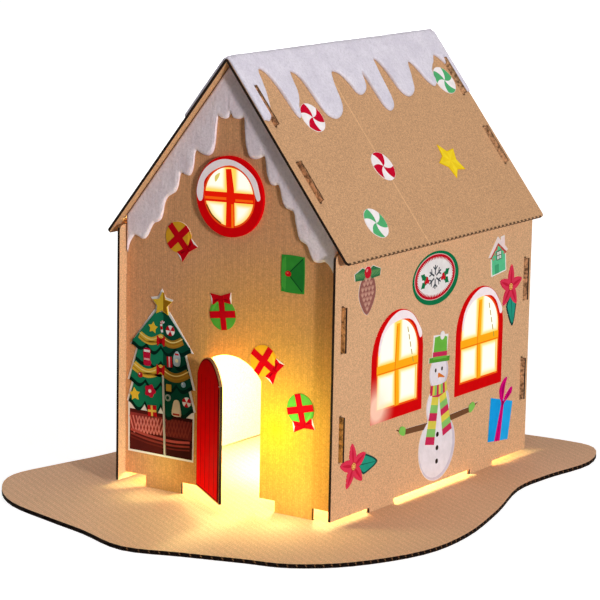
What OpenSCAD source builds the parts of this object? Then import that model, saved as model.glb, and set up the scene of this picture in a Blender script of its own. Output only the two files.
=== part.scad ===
// Card house: slotted and folded corrugated card on a card base, with felt snow, stickers and a lamp.
// Millimetres, Z up, front towards -Y. Origin: under the middle of the house, on the base's underside.

/* [Card] */
// Thickness of the wall and roof card
wall_t = 1.2; // [1:0.1:2]
// Thickness of the base card
base_t = 1.8; // [1.4:0.1:4]
// Distance from one flute to the next
flute_pitch = 3.3; // [2.8:0.1:6]
// Thickness of the flat liner papers
liner_t = 0.2; // [0.15:0.01:0.25]
// Thickness of the fluted paper between the liners
medium_t = 0.2; // [0.15:0.01:0.25]

/* [House] */
// Width over the outside of the side walls
house_w = 112; // [104:1:140]
// Length of the side walls, front to back
house_d = 160; // [150:1:220]
// Height of the side walls
wall_h = 112; // [106:1:130]
// Gap under the side walls' bottom edges
wall_lift = 2.1; // [1:0.1:4]
// Gap under the gables' bottom edges
gable_lift = 5; // [2:0.1:8]
// How far the gables stand back from the side walls' ends
gable_inset = 5; // [3:0.5:8]
// Radius of the side walls' top corners
corner_r = 2.5; // [1:0.1:5]

/* [Roof] */
// Gap between the side walls' top edges and the roof
wall_gap = 2.4; // [1:0.1:5]
// Slope of the roof
roof_pitch = 52; // [49:0.5:55]
// How far the eaves reach past the side walls
eave_out = 6; // [2:0.5:14]
// Radius of the roof sheet's corners
roof_corner_r = 2; // [0.5:0.1:5]

/* [Tabs] */
// Width of every tab and foot
tab_w = 19; // [14:0.5:21]
// How far the tabs stand out of their slots
tab_out = 2; // [1.6:0.1:2.6]
// Room between a tab and each side of its slot
tab_side_clearance = 0.15; // [0.1:0.05:0.3]
// Room between a tab and each end of its slot
tab_end_clearance = 0.6; // [0.3:0.1:1]
// Height of the lower wall tabs' middle over the table
low_tab_z = 38; // [32:1:42]
// Height of the upper wall tabs' middle over the table
high_tab_z = 84; // [78:1:88]
// Distance of the upper roof tabs' middle from the fold
high_tab_s = 23.5; // [22:0.5:26]
// Distance of the lower roof tabs' middle from the fold
low_tab_s = 60.5; // [56:0.5:64]
// Distance of the gables' feet from the middle
gable_foot_x = 34; // [31:0.5:38]
// Distance of the side walls' feet from the middle
wall_foot_y = 41; // [34:0.5:48]
// Room between pieces that lie edge to face
fit_gap = 0.15; // [0.1:0.05:0.3]

/* [Door] */
// Width of the doorway
door_w = 33; // [28:0.5:36]
// Height of the doorway's crown over the table
door_top = 66; // [58:0.5:70]
// Rise of the doorway's arched head
door_rise = 9; // [6:0.5:12]
// Angle at which the door flap stands open
door_angle = 37; // [20:1:70]
// Width of the cut round the door flap
door_kerf = 0.3; // [0.2:0.05:0.8]

/* [Windows] */
// Distance of the round window's middle below the gable's peak
round_window_drop = 56.2; // [55:0.2:60]
// Diameter of the round window sticker
round_window_d = 34; // [26:0.5:36]
// Thickness of the round window, a sticker on a foam pad
round_window_t = 1.6; // [1:0.1:2.4]
// Width of the arched window stickers
window_w = 40; // [32:0.5:43]
// Height of the arched window stickers
window_h = 46.5; // [40:0.5:48]
// Overlap of every window sticker on the card round its hole
window_lap = 4; // [2:0.1:6]

/* [Base] */
// Angle of the base's flutes to the side walls
base_flute_angle = 60; // [0:1:90]

/* [Felt] */
// Thickness of the felt snow
felt_t = 1.4; // [1.2:0.1:3]

/* [Stickers] */
// Thickness of the stickers
sticker_t = 0.25; // [0.1:0.05:0.5]
// Room kept between a sticker and an edge, a slot or a tab beside it
sticker_gap = 1.2; // [0.6:0.1:1.6]
// Height of the tree sticker over the gable's bottom edge
tree_lift = 9.7; // [4:0.1:12]
// Height of the tree sticker
tree_h = 73.6; // [60:0.2:80]
// Diameter of the round parcel stickers
parcel_d = 13.4; // [10:0.2:14]
// Width of the envelope sticker
envelope_w = 11.4; // [8:0.2:14]
// Height of the envelope sticker
envelope_h = 15.4; // [10:0.2:18]
// Width of the oval badge sticker
badge_w = 37.2; // [28:0.2:38]
// Height of the oval badge sticker
badge_h = 23.2; // [16:0.2:24]
// Reach of the pine cone sticker's twigs to each side
cone_r = 10; // [7:0.5:11]
// Width of the little house sticker's roof
cottage_w = 17; // [12:0.5:18]
// Length of a poinsettia sticker's petals
petal_r = 10; // [6:0.1:10.5]
// Width of the wrapped box sticker
gift_box_w = 19; // [12:0.5:20]
// Height of the wrapped box sticker's bow
bow_h = 7.6; // [5:0.2:8]
// Radius of the snowman sticker's body
snowman_r = 15; // [10:0.5:16]
// Diameter of the sweet stickers on the roof
sweet_d = 14; // [10:0.2:14.4]
// Radius of the star sticker's points
star_r = 9.2; // [6:0.1:12]

/* [Lamp] */
// Diameter of the battery lamp
lamp_d = 38; // [30:1:60]
// Height of the lamp's housing
lamp_h = 11; // [8:0.5:20]
// Rounding of the housing's edges
lamp_edge = 1.5; // [0.5:0.1:3]
// Diameter of the lamp's dome
dome_d = 30; // [20:1:30]
// Height of the lamp's dome over its housing
dome_h = 6; // [4:0.5:10]

/* [Hidden] */

$fn = 64;
eps = 0.01;
far = 300;

kraft = [0.76, 0.60, 0.44];
kraft_pale = [0.82, 0.68, 0.52];
felt_white = [0.95, 0.95, 0.97];
red = [0.83, 0.10, 0.08];
green = [0.18, 0.52, 0.20];
yellow = [0.97, 0.78, 0.16];
paper_white = [0.96, 0.95, 0.92];
pane_glow = [1.0, 0.93, 0.72];
lamp_white = [0.93, 0.93, 0.90];
blue = [0.12, 0.60, 0.86];
cone_brown = [0.55, 0.40, 0.38];

wall_z = base_t + wall_lift;
wall_top = wall_z + wall_h;
gable_z = base_t + gable_lift;
half_w = house_w / 2;
half_d = house_d / 2;
ridge_h = wall_top + wall_gap + half_w * tan(roof_pitch);
gable_half = half_w - wall_t - fit_gap;
gable_face = half_d - gable_inset;
gable_mid = gable_face - wall_t / 2;
apex_z = ridge_h - fit_gap / cos(roof_pitch);
slope_len = (half_w + eave_out) / cos(roof_pitch) - wall_t * tan(roof_pitch);
slot_t = wall_t + 2 * tab_side_clearance;
slot_w = tab_w + 2 * tab_end_clearance;
hinge_x = -door_w / 2;
felt_end = half_d - fit_gap;
felt_reach = 0.4 * slope_len;

// Places on the front, on a side wall and on the roof, as shares of the sheet's own width and height
function on_gable(x, z) = [x * house_w, z * wall_h];
function on_wall(y, z) = [y * house_d, wall_z + z * wall_h];
function on_sheet(y, s) = [s * slope_len, y * house_d];

round_window_at = [0, apex_z - round_window_drop];
front_window_at = on_wall(-0.1969, 0.3188);
back_window_at = on_wall(0.225, 0.3188);
tree_at = [-(gable_half + door_w / 2) / 2, gable_z + tree_lift];
tree_w = gable_half - door_w / 2 - sticker_gap;
envelope_at = on_gable(0.283, 0.932);
yellow_parcel_high_at = on_gable(-0.242, 1.012);
green_parcel_high_at = on_gable(-0.03214, 0.7411);
yellow_parcel_low_at = [door_w / 2 + sticker_gap, door_top];
green_parcel_low_at = on_gable(0.3277, 0.4286);
pine_cone_at = on_wall(-0.3525, 0.8357);
badge_at = on_wall(-0.015, 0.817);
cottage_at = on_wall(0.3187, 0.7652);
poinsettia_high_at = on_wall(0.3869, 0.6991);
poinsettia_low_at = on_wall(-0.4, 0.1848);
snowman_at = [(front_window_at[0] + back_window_at[0]) / 2, wall_z + sticker_gap];
gift_box_at = on_wall(0.3438, 0.0723);
red_sweet_high_at = on_sheet(-0.2925, 0.3227);
red_sweet_low_at = on_sheet(-0.1125, 0.604);
green_sweet_low_at = on_sheet(-0.2875, 0.8501);
green_sweet_high_at = [high_tab_s + sticker_gap, gable_mid - slot_t / 2 - sticker_gap - sweet_d / 2];
star_at = on_sheet(0.2062, 0.6413);

// Hand-drawn outline of the base from its left tip, as shares of the house's width and length
base_points = [
    [-0.8125, -0.7188], [-0.6429, -0.8156], [-0.3929, -0.8719], [-0.1964, -0.9094], [0.04464, -0.9656],
    [0.2679, -0.9187], [0.4821, -0.8719], [0.6518, -0.8344], [0.8125, -0.725], [0.933, -0.5312],
    [0.9375, -0.325], [0.8571, -0.075], [0.7545, 0.1562], [0.75, 0.325], [0.7768, 0.5312],
    [0.6786, 0.6844], [0.4911, 0.7063], [0.1339, 0.6813], [-0.3125, 0.675], [-0.6786, 0.6],
    [-0.8036, 0.3438], [-0.7946, 0.03125], [-0.8214, -0.25], [-0.875, -0.4375], [-0.9062, -0.5938]
];

// Lower edge of the roof felt: [share of the house's length, share of the slope below the fold]
roof_drips = [
    [-0.4938, 0.2985], [-0.4813, 0.3055], [-0.4662, 0.2864], [-0.4525, 0.2521], [-0.4375, 0.2017],
    [-0.4275, 0.1513], [-0.4162, 0.0847], [-0.3987, 0.0615], [-0.3812, 0.0847], [-0.3712, 0.1271],
    [-0.3656, 0.1714], [-0.3619, 0.2218], [-0.3588, 0.2723], [-0.3544, 0.3025], [-0.3475, 0.3166],
    [-0.3400, 0.3025], [-0.3312, 0.2723], [-0.3163, 0.2440], [-0.3013, 0.2077], [-0.2925, 0.1472],
    [-0.2838, 0.1049], [-0.2712, 0.0958], [-0.2550, 0.1129], [-0.2456, 0.1462], [-0.2413, 0.1916],
    [-0.2375, 0.2420], [-0.2325, 0.2864], [-0.2213, 0.3267], [-0.1969, 0.3469], [-0.1731, 0.3408],
    [-0.1525, 0.3207], [-0.1375, 0.2823], [-0.1288, 0.2319], [-0.1187, 0.1815], [-0.1038, 0.1331],
    [-0.0863, 0.1230], [-0.0669, 0.1381], [-0.0537, 0.1674], [-0.0456, 0.2017], [-0.0387, 0.2380],
    [-0.0231, 0.2541], [-0.0013, 0.2460], [0.0163, 0.2218], [0.0263, 0.1815], [0.0338, 0.1492],
    [0.0387, 0.1432], [0.0419, 0.1714], [0.0437, 0.2218], [0.0456, 0.2723], [0.0494, 0.3186],
    [0.0581, 0.3449], [0.0706, 0.3529], [0.0875, 0.3428], [0.0988, 0.3126], [0.1038, 0.2622],
    [0.1081, 0.2017], [0.1137, 0.1472], [0.1200, 0.1008], [0.1275, 0.0908], [0.1400, 0.1008],
    [0.1494, 0.1311], [0.1556, 0.1674], [0.1594, 0.2118], [0.1650, 0.2561], [0.1762, 0.2864],
    [0.1938, 0.2995], [0.2162, 0.2924], [0.2325, 0.2723], [0.2450, 0.2380], [0.2600, 0.1916],
    [0.2725, 0.1472], [0.2863, 0.1291], [0.2987, 0.1452], [0.3087, 0.1815], [0.3187, 0.2259],
    [0.3325, 0.2581], [0.3463, 0.2702], [0.3575, 0.2561], [0.3619, 0.2279], [0.3700, 0.1976],
    [0.3862, 0.1714], [0.4025, 0.1533], [0.4150, 0.1311], [0.4275, 0.1150], [0.4437, 0.1291],
    [0.4588, 0.1613], [0.4681, 0.2017], [0.4725, 0.2521], [0.4763, 0.2924], [0.4825, 0.3166],
    [0.4912, 0.3247]
];

// Lower edge of the gable felt from left to right, as shares of the house's width:
// [sideways, drop below the gable's slope]
gable_drips = [
    [-0.4839, 0.1482], [-0.4750, 0.1268], [-0.4625, 0.1196], [-0.4482, 0.1232], [-0.4312, 0.1482],
    [-0.4143, 0.1768], [-0.3982, 0.1946], [-0.3839, 0.1955], [-0.3696, 0.1857], [-0.3563, 0.1848],
    [-0.3393, 0.2000], [-0.3250, 0.2071], [-0.3152, 0.1964], [-0.3080, 0.1679], [-0.2946, 0.1589],
    [-0.2768, 0.1687], [-0.2571, 0.1812], [-0.2446, 0.1732], [-0.2393, 0.1482], [-0.2304, 0.1411],
    [-0.2107, 0.1714], [-0.1929, 0.1955], [-0.1804, 0.1955], [-0.1732, 0.1750], [-0.1687, 0.1411],
    [-0.1589, 0.1411], [-0.1375, 0.1786], [-0.1161, 0.2107], [-0.0982, 0.2304], [-0.0848, 0.2330],
    [-0.0759, 0.2125], [-0.0705, 0.1607], [-0.0643, 0.1250], [-0.0518, 0.1446], [-0.0339, 0.1714],
    [-0.0179, 0.1857], [-0.0062, 0.1830], [0.0027, 0.2000], [0.0161, 0.1893], [0.0339, 0.1661],
    [0.0509, 0.1375], [0.0589, 0.1330], [0.0634, 0.1589], [0.0679, 0.2054], [0.0750, 0.2375],
    [0.0857, 0.2393], [0.1036, 0.2196], [0.1250, 0.1875], [0.1446, 0.1527], [0.1545, 0.1464],
    [0.1616, 0.1679], [0.1679, 0.2000], [0.1777, 0.2089], [0.1929, 0.1946], [0.2089, 0.1696],
    [0.2179, 0.1634], [0.2268, 0.1768], [0.2357, 0.1991], [0.2482, 0.2009], [0.2661, 0.1839],
    [0.2804, 0.1696], [0.2902, 0.1732], [0.2982, 0.2018], [0.3089, 0.2286], [0.3214, 0.2250],
    [0.3393, 0.2089], [0.3518, 0.2071], [0.3661, 0.2214], [0.3804, 0.2179], [0.4018, 0.1911],
    [0.4250, 0.1554], [0.4429, 0.1438], [0.4607, 0.1420], [0.4768, 0.1554]
];

// Tree outline: tiers as [lower half width, lower height, upper half width, upper height], as shares
tree_tiers = [
    [0.95, 0, 0.96, 0.31], [1, 0.3, 0.8, 0.47], [0.98, 0.43, 0.66, 0.68], [0.92, 0.645, 0.22, 0.87]
];

// Pine cone outline round from its tip, as shares of the twigs' reach
cone_points = [[0, -1], [0.55, -0.4], [0.62, 0.15], [0.35, 0.6], [-0.35, 0.6], [-0.62, 0.15], [-0.55, -0.4]];

// Point at share t of the way from b to c on the smooth curve through four points
function curve_point(a, b, c, d, t) =
    0.5 * (2 * b + (c - a) * t + (2 * a - 5 * b + 4 * c - d) * t * t + (3 * b - a - 3 * c + d) * t * t * t);

// Smooth closed curve through the points, with n steps between neighbours
function closed_curve(p, n) = let (m = len(p)) [
    for (i = [0:m - 1], j = [0:n - 1])
        curve_point(p[(i + m - 1) % m], p[i], p[(i + 1) % m], p[(i + 2) % m], j / n)
];

// Smooth open curve through the points, ends included
function open_curve(p, n) = let (m = len(p)) concat([
    for (i = [0:m - 2], j = [0:n - 1])
        curve_point(p[max(i - 1, 0)], p[i], p[i + 1], p[min(i + 2, m - 1)], j / n)
], [p[m - 1]]);

function flipped(p) = [for (i = [len(p) - 1:-1:0]) [-p[i][0], p[i][1]]];

function ellipse(r, n = 48) = [for (i = [0:n - 1]) [r[0] * cos(360 * i / n), r[1] * sin(360 * i / n)]];

// Stands a sheet drawn in X and Z up across the house, its front face at y
module stand_across(y, t) {
    translate([0, y + t, 0]) rotate([90, 0, 0]) children();
}

// Stands a sheet drawn in Y and Z up along the house, its inside face at x
module stand_along(x) {
    translate([x, 0, 0]) rotate([90, 0, 90]) children();
}

// On a roof slope: X runs down from the fold, Y along the house, Z out of the roof's inside face
module on_slope(side = 1) {
    rotate([0, 0, side > 0 ? 0 : 180]) translate([0, 0, ridge_h]) rotate([0, roof_pitch, 0]) children();
}

// Sticks a shape on the front gable's outside
module on_front(at) {
    stand_across(-gable_face - sticker_t, sticker_t) linear_extrude(sticker_t) translate(at) children();
}

// Sticks a shape on the right wall's outside, or mirrored on the left wall's
module on_side(at, side = 1) {
    mirror([side > 0 ? 0 : 1, 0, 0]) stand_along(half_w) linear_extrude(sticker_t) translate(at) children();
}

// Sticks a shape on the right slope's outside
module on_roof(at) {
    on_slope() translate([at[0], at[1], wall_t]) linear_extrude(sticker_t) children();
}

// The hollow flutes of a card of thickness t: channels along Y over a width, from y0 to y1
module flutes(width, y0, y1, t) {
    count = floor((width / 2 - liner_t) / flute_pitch - 0.5);
    half_base = flute_pitch / 2 - medium_t;
    tip = liner_t + medium_t;
    translate([0, y1, 0]) rotate([90, 0, 0]) linear_extrude(y1 - y0) {
        for (i = [-count:count]) {
            translate([i * flute_pitch, 0])
                polygon([[-half_base, t - liner_t], [0, tip], [half_base, t - liner_t]]);
        }
        for (i = [-count:count - 1]) {
            translate([(i + 0.5) * flute_pitch, 0])
                polygon([[-half_base, liner_t], [half_base, liner_t], [0, t - tip]]);
        }
    }
}

// Flat card of an outline, with flutes along Y over a width about the middle
module card(t, width, y0, y1) {
    difference() {
        linear_extrude(t) children();
        flutes(width, y0, y1, t);
    }
}

// Radius of an arched head of the given width and rise
function arch_r(w, rise) = (w * w / 4 + rise * rise) / (2 * rise);

// Shape with straight sides and an arched head of the given rise, standing on Y = 0
module arched(w, h, rise) {
    arc_r = arch_r(w, rise);
    translate([-w / 2, 0]) square([w, h - rise]);
    intersection() {
        translate([0, h - arc_r]) circle(arc_r);
        translate([-w / 2, 0]) square([w, h + eps]);
    }
}

// Five-pointed star standing on two points, its inner corners at a share of its reach
module star(r) {
    inner = 0.54;
    polygon([for (i = [0:9]) (i % 2 == 0 ? r : r * inner) * [cos(90 + 36 * i), sin(90 + 36 * i)]]);
}

// Pointed petal of length r along X
module petal(r) {
    belly = 0.24;
    shoulder = 0.2;
    polygon(closed_curve(r * [
        [0, 0], [0.3, -belly], [0.68, -shoulder], [1, 0], [0.68, shoulder], [0.3, belly]
    ], 4));
}

module base_slots() {
    for (side = [-1, 1], end = [-1, 1]) {
        translate([side * (half_w - wall_t / 2), end * wall_foot_y])
            square([slot_t, slot_w], center = true);
        translate([side * gable_foot_x, end * gable_mid])
            square([slot_w, slot_t], center = true);
    }
}

module base_board() {
    outline = [for (p = base_points) [p[0] * house_w, p[1] * house_d]];
    color(kraft_pale) difference() {
        linear_extrude(base_t) difference() {
            polygon(closed_curve(outline, 4));
            base_slots();
        }
        rotate([0, 0, base_flute_angle]) flutes(2 * far, -far, far, base_t);
    }
}

// Gable sheet without its door: five-sided, with side tabs, roof tabs and feet
module gable_outline() {
    side_top = apex_z - gable_half * tan(roof_pitch);
    reach = half_w + tab_out - gable_half;
    polygon([
        [-gable_half, gable_z], [gable_half, gable_z], [gable_half, side_top], [0, apex_z],
        [-gable_half, side_top]
    ]);
    for (side = [0, 1]) {
        mirror([side, 0]) {
            for (z = [low_tab_z, high_tab_z]) {
                translate([gable_half - wall_t, z - tab_w / 2]) square([reach + wall_t, tab_w]);
            }
            for (s = [high_tab_s, low_tab_s]) {
                translate([0, ridge_h]) rotate(-roof_pitch) translate([s - tab_w / 2, -wall_t])
                    square([tab_w, 2 * wall_t + tab_out]);
            }
            translate([gable_foot_x - tab_w / 2, fit_gap]) square([tab_w, gable_z]);
        }
    }
}

// Front gable of plain card, with its doorway, its window hole and the door flap folded out of it
module front_wall() {
    color(kraft) {
        stand_across(-gable_face, wall_t) linear_extrude(wall_t) difference() {
            gable_outline();
            translate([0, gable_z]) arched(door_w, door_top - gable_z, door_rise);
            translate([-door_w / 2, gable_z - door_rise]) square([door_w, 2 * door_rise]);
            translate(round_window_at) circle(round_window_d / 2 - window_lap);
        }
        translate([hinge_x, -gable_face, 0]) door_flap();
    }
}

// The door flap and its stretched fold as one bent strip, its head cut to the doorway's arch
module door_flap() {
    steps = 5;
    root = 0.5;
    panel_h = door_top - gable_z - door_kerf;
    along = [cos(door_angle), -sin(door_angle)];
    inward = wall_t * [sin(door_angle), cos(door_angle)];
    free_edge = (door_w - door_kerf) * along;
    fold = [for (i = [0:steps]) let (a = 90 - door_angle * (1 - i / steps)) wall_t * [cos(a), sin(a)]];
    difference() {
        translate([0, 0, gable_z]) linear_extrude(panel_h)
            polygon(concat([[-root, 0], [0, 0], free_edge, free_edge + inward], fold, [[-root, wall_t]]));
        rotate([0, 0, -door_angle]) stand_across(-wall_t, 3 * wall_t) translate([door_w / 2, 0, 0])
            linear_extrude(3 * wall_t) translate([0, gable_z]) difference() {
                translate([-door_w, panel_h - door_rise - root]) square([2 * door_w, 2 * door_rise]);
                translate([0, panel_h - arch_r(door_w, door_rise)]) circle(arch_r(door_w, door_rise));
            }
    }
}

module back_wall() {
    color(kraft) stand_across(gable_face - wall_t, wall_t)
        card(wall_t, 2 * gable_half, 0, ridge_h) gable_outline();
}

// Side wall sheet: rounded top corners, two window holes, slots for the gables' tabs, two feet
module side_outline() {
    hole_w = window_w - 2 * window_lap;
    difference() {
        union() {
            translate([-half_d, wall_z]) square([house_d, wall_h - corner_r]);
            translate([-half_d + corner_r, wall_z]) square([house_d - 2 * corner_r, wall_h]);
            for (end = [-1, 1]) {
                translate([end * (half_d - corner_r), wall_top - corner_r]) circle(corner_r);
                translate([end * wall_foot_y - tab_w / 2, fit_gap]) square([tab_w, wall_z]);
            }
        }
        for (at = [front_window_at, back_window_at]) {
            translate([at[0], at[1] + window_lap]) arched(hole_w, window_h - 2 * window_lap, hole_w / 2);
        }
        for (end = [-1, 1], z = [low_tab_z, high_tab_z]) {
            translate([end * gable_mid, z]) square([slot_t, slot_w], center = true);
        }
    }
}

module side_wall(side) {
    color(kraft) mirror([side > 0 ? 0 : 1, 0, 0]) stand_along(half_w - wall_t)
        card(wall_t, house_d, 0, ridge_h) side_outline();
}

// Rounded fold over the ridge at a distance r from the inside of the roof's fold, right to left in X and Z
function ridge_arc(r, steps = 10) = [
    for (i = [0:steps]) let (a = 90 - roof_pitch + 2 * roof_pitch * i / steps) r * [cos(a), sin(a)]
];

// Point on the right slope: s down from the fold, r out of the roof's inside face
function slope_point(s, r) = s * [cos(roof_pitch), -sin(roof_pitch)] + r * [sin(roof_pitch), cos(roof_pitch)];

// Section of the roof sheet in X and Z about the inside of its fold
module roof_section() {
    half = [[0, 0], slope_point(slope_len, 0), slope_point(slope_len, wall_t)];
    polygon(concat(half, ridge_arc(wall_t), [for (i = [2, 1]) [-half[i][0], half[i][1]]]));
}

// What is taken off one slope of the roof: its corners, the slots for the gables' tabs, the flutes
module roof_cuts() {
    crease = 3;
    for (end = [0, 1]) {
        mirror([0, end, 0]) translate([0, 0, -wall_t]) linear_extrude(3 * wall_t) {
            translate([slope_len - roof_corner_r, half_d - roof_corner_r]) {
                for (a = [22.5, 45, 67.5]) {
                    rotate(a) translate([roof_corner_r, -4 * roof_corner_r]) square(8 * roof_corner_r);
                }
            }
            for (s = [high_tab_s, low_tab_s]) {
                translate([s, gable_mid]) square([slot_w, slot_t], center = true);
            }
        }
    }
    rotate([0, 0, -90]) flutes(house_d, crease, far, wall_t);
}

module roof() {
    color(kraft) difference() {
        translate([0, half_d, ridge_h]) rotate([90, 0, 0]) linear_extrude(house_d) roof_section();
        for (side = [-1, 1]) {
            on_slope(side) roof_cuts();
        }
    }
}

// Section of the roof felt in X and Z, longer than its longest drip
module felt_section() {
    top = wall_t + felt_t;
    inner = ridge_arc(wall_t);
    half = [slope_point(felt_reach, wall_t), slope_point(felt_reach, top)];
    polygon(concat(half, ridge_arc(top), [for (i = [1, 0]) [-half[i][0], half[i][1]]],
        [for (i = [len(inner) - 1:-1:0]) inner[i]]));
}

// What is taken off one slope of the felt: all below its drips, slits for the roof tabs, and room for the sweets
module felt_cuts() {
    edge = [for (p = open_curve(roof_drips, 3)) [p[0] * 2 * felt_end, p[1] * slope_len]];
    last = len(edge) - 1;
    past = half_d + 1;
    linear_extrude(3 * felt_t) polygon(concat(
        [[felt_reach + 1, -past], [felt_reach + 1, past], [edge[last][1], past]],
        [for (i = [last:-1:0]) [edge[i][1], edge[i][0]]],
        [[edge[0][1], -past]]
    ));
    for (end = [-1, 1]) {
        translate([high_tab_s - slot_w / 2, end * gable_mid - slot_t / 2, 0])
            cube([slot_w, slot_t, 3 * felt_t]);
    }
    for (at = [red_sweet_high_at, green_sweet_high_at]) {
        translate([at[0], at[1], 0]) cylinder(h = 3 * felt_t, d = sweet_d + 2 * fit_gap);
    }
}

// Felt folded over the ridge, with drips down both slopes
module roof_snow() {
    color(felt_white) difference() {
        translate([0, felt_end, ridge_h]) rotate([90, 0, 0]) linear_extrude(2 * felt_end) felt_section();
        for (side = [-1, 1]) {
            on_slope(side) felt_cuts();
        }
    }
}

// Felt on the front gable: follows the roof's slope above, drips below
module gable_snow() {
    slope = tan(roof_pitch);
    drops = house_w * open_curve(gable_drips, 3);
    edge = [for (p = drops) [p[0], apex_z - abs(p[0]) * slope - p[1]]];
    tips = [edge[len(edge) - 1][0], edge[0][0]];
    top = apex_z - fit_gap;
    color(felt_white) stand_across(-gable_face - felt_t, felt_t) linear_extrude(felt_t) polygon(concat(
        edge, [[tips[0], top - tips[0] * slope], [0, top], [tips[1], top + tips[1] * slope]]
    ));
}

module round_window() {
    color(pane_glow) stand_across(-gable_face - round_window_t, round_window_t) linear_extrude(round_window_t)
        translate(round_window_at) circle(round_window_d / 2);
}

module side_window(side, at) {
    color(pane_glow) on_side(at, side) arched(window_w, window_h, window_w / 2);
}

// Red sheet on the door flap's outside, a little inside its edges
module door_sticker() {
    margin = 0.8;
    color(red) translate([hinge_x, -gable_face, 0]) rotate([0, 0, -door_angle])
        stand_across(-sticker_t, sticker_t) linear_extrude(sticker_t)
            translate([door_w / 2, gable_z + margin])
                arched(door_w - 2 * margin, door_top - gable_z - 2 * margin, door_rise);
}

// Decorated tree in a tub, with a star on top
module tree_sticker() {
    star_share = 0.085;
    color(green) on_front(tree_at) {
        for (tier = tree_tiers) {
            low = [tier[0] * tree_w / 2, tier[1] * tree_h];
            high = [tier[2] * tree_w / 2, tier[3] * tree_h];
            polygon([[-low[0], low[1]], low, high, [-high[0], high[1]]]);
        }
        translate([0, tree_h * (1 - star_share)]) star(tree_h * star_share);
    }
}

// Envelope with softened corners
module envelope_sticker() {
    side = 0.5;
    near = 0.4;
    color(green) on_front(envelope_at) polygon(closed_curve([
        for (c = [[side, -near], [side, near], [near, side], [-near, side],
                  [-side, near], [-side, -near], [-near, -side], [near, -side]])
            [c[0] * envelope_w, c[1] * envelope_h]
    ], 3));
}

// Round parcel with a two-looped bow on its rim, the bow turned to an angle
module parcel_sticker(at, bow_angle, tint) {
    loop = parcel_d * [[0, -0.09], [0.37, -0.19], [0.4, 0.18], [0, 0.09]];
    color(tint) on_front(at) {
        circle(parcel_d / 2);
        rotate(bow_angle) translate([0, parcel_d / 2]) {
            polygon(loop);
            polygon(flipped(loop));
        }
    }
}

// Pine cone under two sprigs of needles and a berry
module pine_cone_sticker() {
    sprig = cone_r * [[-0.05, 0.5], [0.95, 0.55], [1, 0.85], [0.4, 1.05], [-0.05, 0.85]];
    color(cone_brown) on_side(pine_cone_at) {
        polygon(closed_curve(cone_r * cone_points, 6));
        polygon(sprig);
        polygon(flipped(sprig));
        translate([0, cone_r * 0.8]) circle(cone_r * 0.26);
    }
}

module badge_sticker() {
    color(green) on_side(badge_at) polygon(ellipse([badge_w / 2, badge_h / 2]));
}

// Little gabled house with a chimney
module cottage_sticker() {
    lean = 6;
    wall = cottage_w * [0.76, 0.6];
    color(green) on_side(cottage_at) rotate(lean) {
        translate([-wall[0] / 2, 0]) square(wall);
        polygon(cottage_w * [[-0.5, 0.54], [0.5, 0.54], [0, 1]]);
        translate(cottage_w * [0.16, 0.6]) square(cottage_w * [0.18, 0.36]);
    }
}

// Five petals round a middle and one leaf beside them
module poinsettia(at, turn, leaf_angle) {
    leaf = [[0, 0], [0.3, -0.38], [0.62, -0.4], [1.45, 0], [0.62, 0.4], [0.3, 0.38]];
    color(red) on_side(at) {
        for (i = [0:4]) {
            rotate(72 * i + turn) petal(petal_r);
        }
        circle(petal_r * 0.3);
        rotate(leaf_angle) translate([petal_r * 0.4, 0]) polygon(closed_curve(petal_r * leaf, 4));
    }
}

// Snowman: round body, chest and head, a tall hat and twig arms that stay under the window sills
module snowman_sticker() {
    chest_r = snowman_r * 0.63;
    head_r = snowman_r * 0.51;
    chest_z = snowman_r * 2.2;
    head_z = snowman_r * 3.2;
    brim = snowman_r * [1.14, 0.16];
    crown = snowman_r * [0.8, 0.72];
    arm_z = front_window_at[1] - snowman_at[1] - snowman_r * 0.6;
    arm = snowman_r * [[0, -0.1], [1.87, 0], [2.27, 0.23], [1.87, 0.16], [0, 0.1]];
    color(paper_white) on_side(snowman_at) {
        translate([0, snowman_r]) circle(snowman_r);
        translate([0, chest_z]) circle(chest_r);
        translate([0, head_z]) circle(head_r);
        translate([0, head_z + head_r * 0.6]) rotate(-5) {
            translate([-brim[0] / 2, 0]) square(brim);
            translate([-crown[0] / 2, brim[1] / 2]) square(crown);
        }
        translate([0, arm_z]) {
            polygon(arm);
            polygon(flipped(arm));
        }
    }
}

// Wrapped box with a bow of two loops, as high as the wall under the window sill allows
module gift_box_sticker() {
    lean = -9;
    box_h = back_window_at[1] - gift_box_at[1] - bow_h - sticker_gap;
    half = gift_box_w / 2;
    tall_loop = [
        [-0.03, -0.24], [0.063, 0.29], [0.095, 0.88], [0.2, 1.4], [-0.05, 1.29], [-0.29, 0.92], [-0.36, 0.49]
    ];
    low_loop = [[0.08, -0.2], [0.5, 0.16], [0.78, 0.5], [0.77, 0.82], [0.52, 0.71], [0.23, 0.29]];
    color(blue) on_side(gift_box_at) rotate(lean) {
        polygon([
            [-half * 0.93, 0], [half * 0.9, box_h * 0.05], [half * 0.97, box_h * 0.98], [-half * 1.1, box_h * 1.07]
        ]);
        for (loop = [tall_loop, low_loop]) {
            polygon(closed_curve([for (p = loop) [p[0] * half, box_h + p[1] * bow_h]], 5));
        }
    }
}

module sweet(at) {
    color(paper_white) on_roof(at) circle(sweet_d / 2);
}

module star_sticker() {
    turn = 36;
    color(yellow) on_roof(star_at) rotate(turn) star(star_r);
}

module lamp_housing() {
    r = lamp_d / 2;
    color(lamp_white) translate([0, 0, base_t]) rotate_extrude() polygon([
        [0, 0], [r - lamp_edge, 0], [r, lamp_edge],
        [r, lamp_h - lamp_edge], [r - lamp_edge, lamp_h], [0, lamp_h]
    ]);
}

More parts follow.
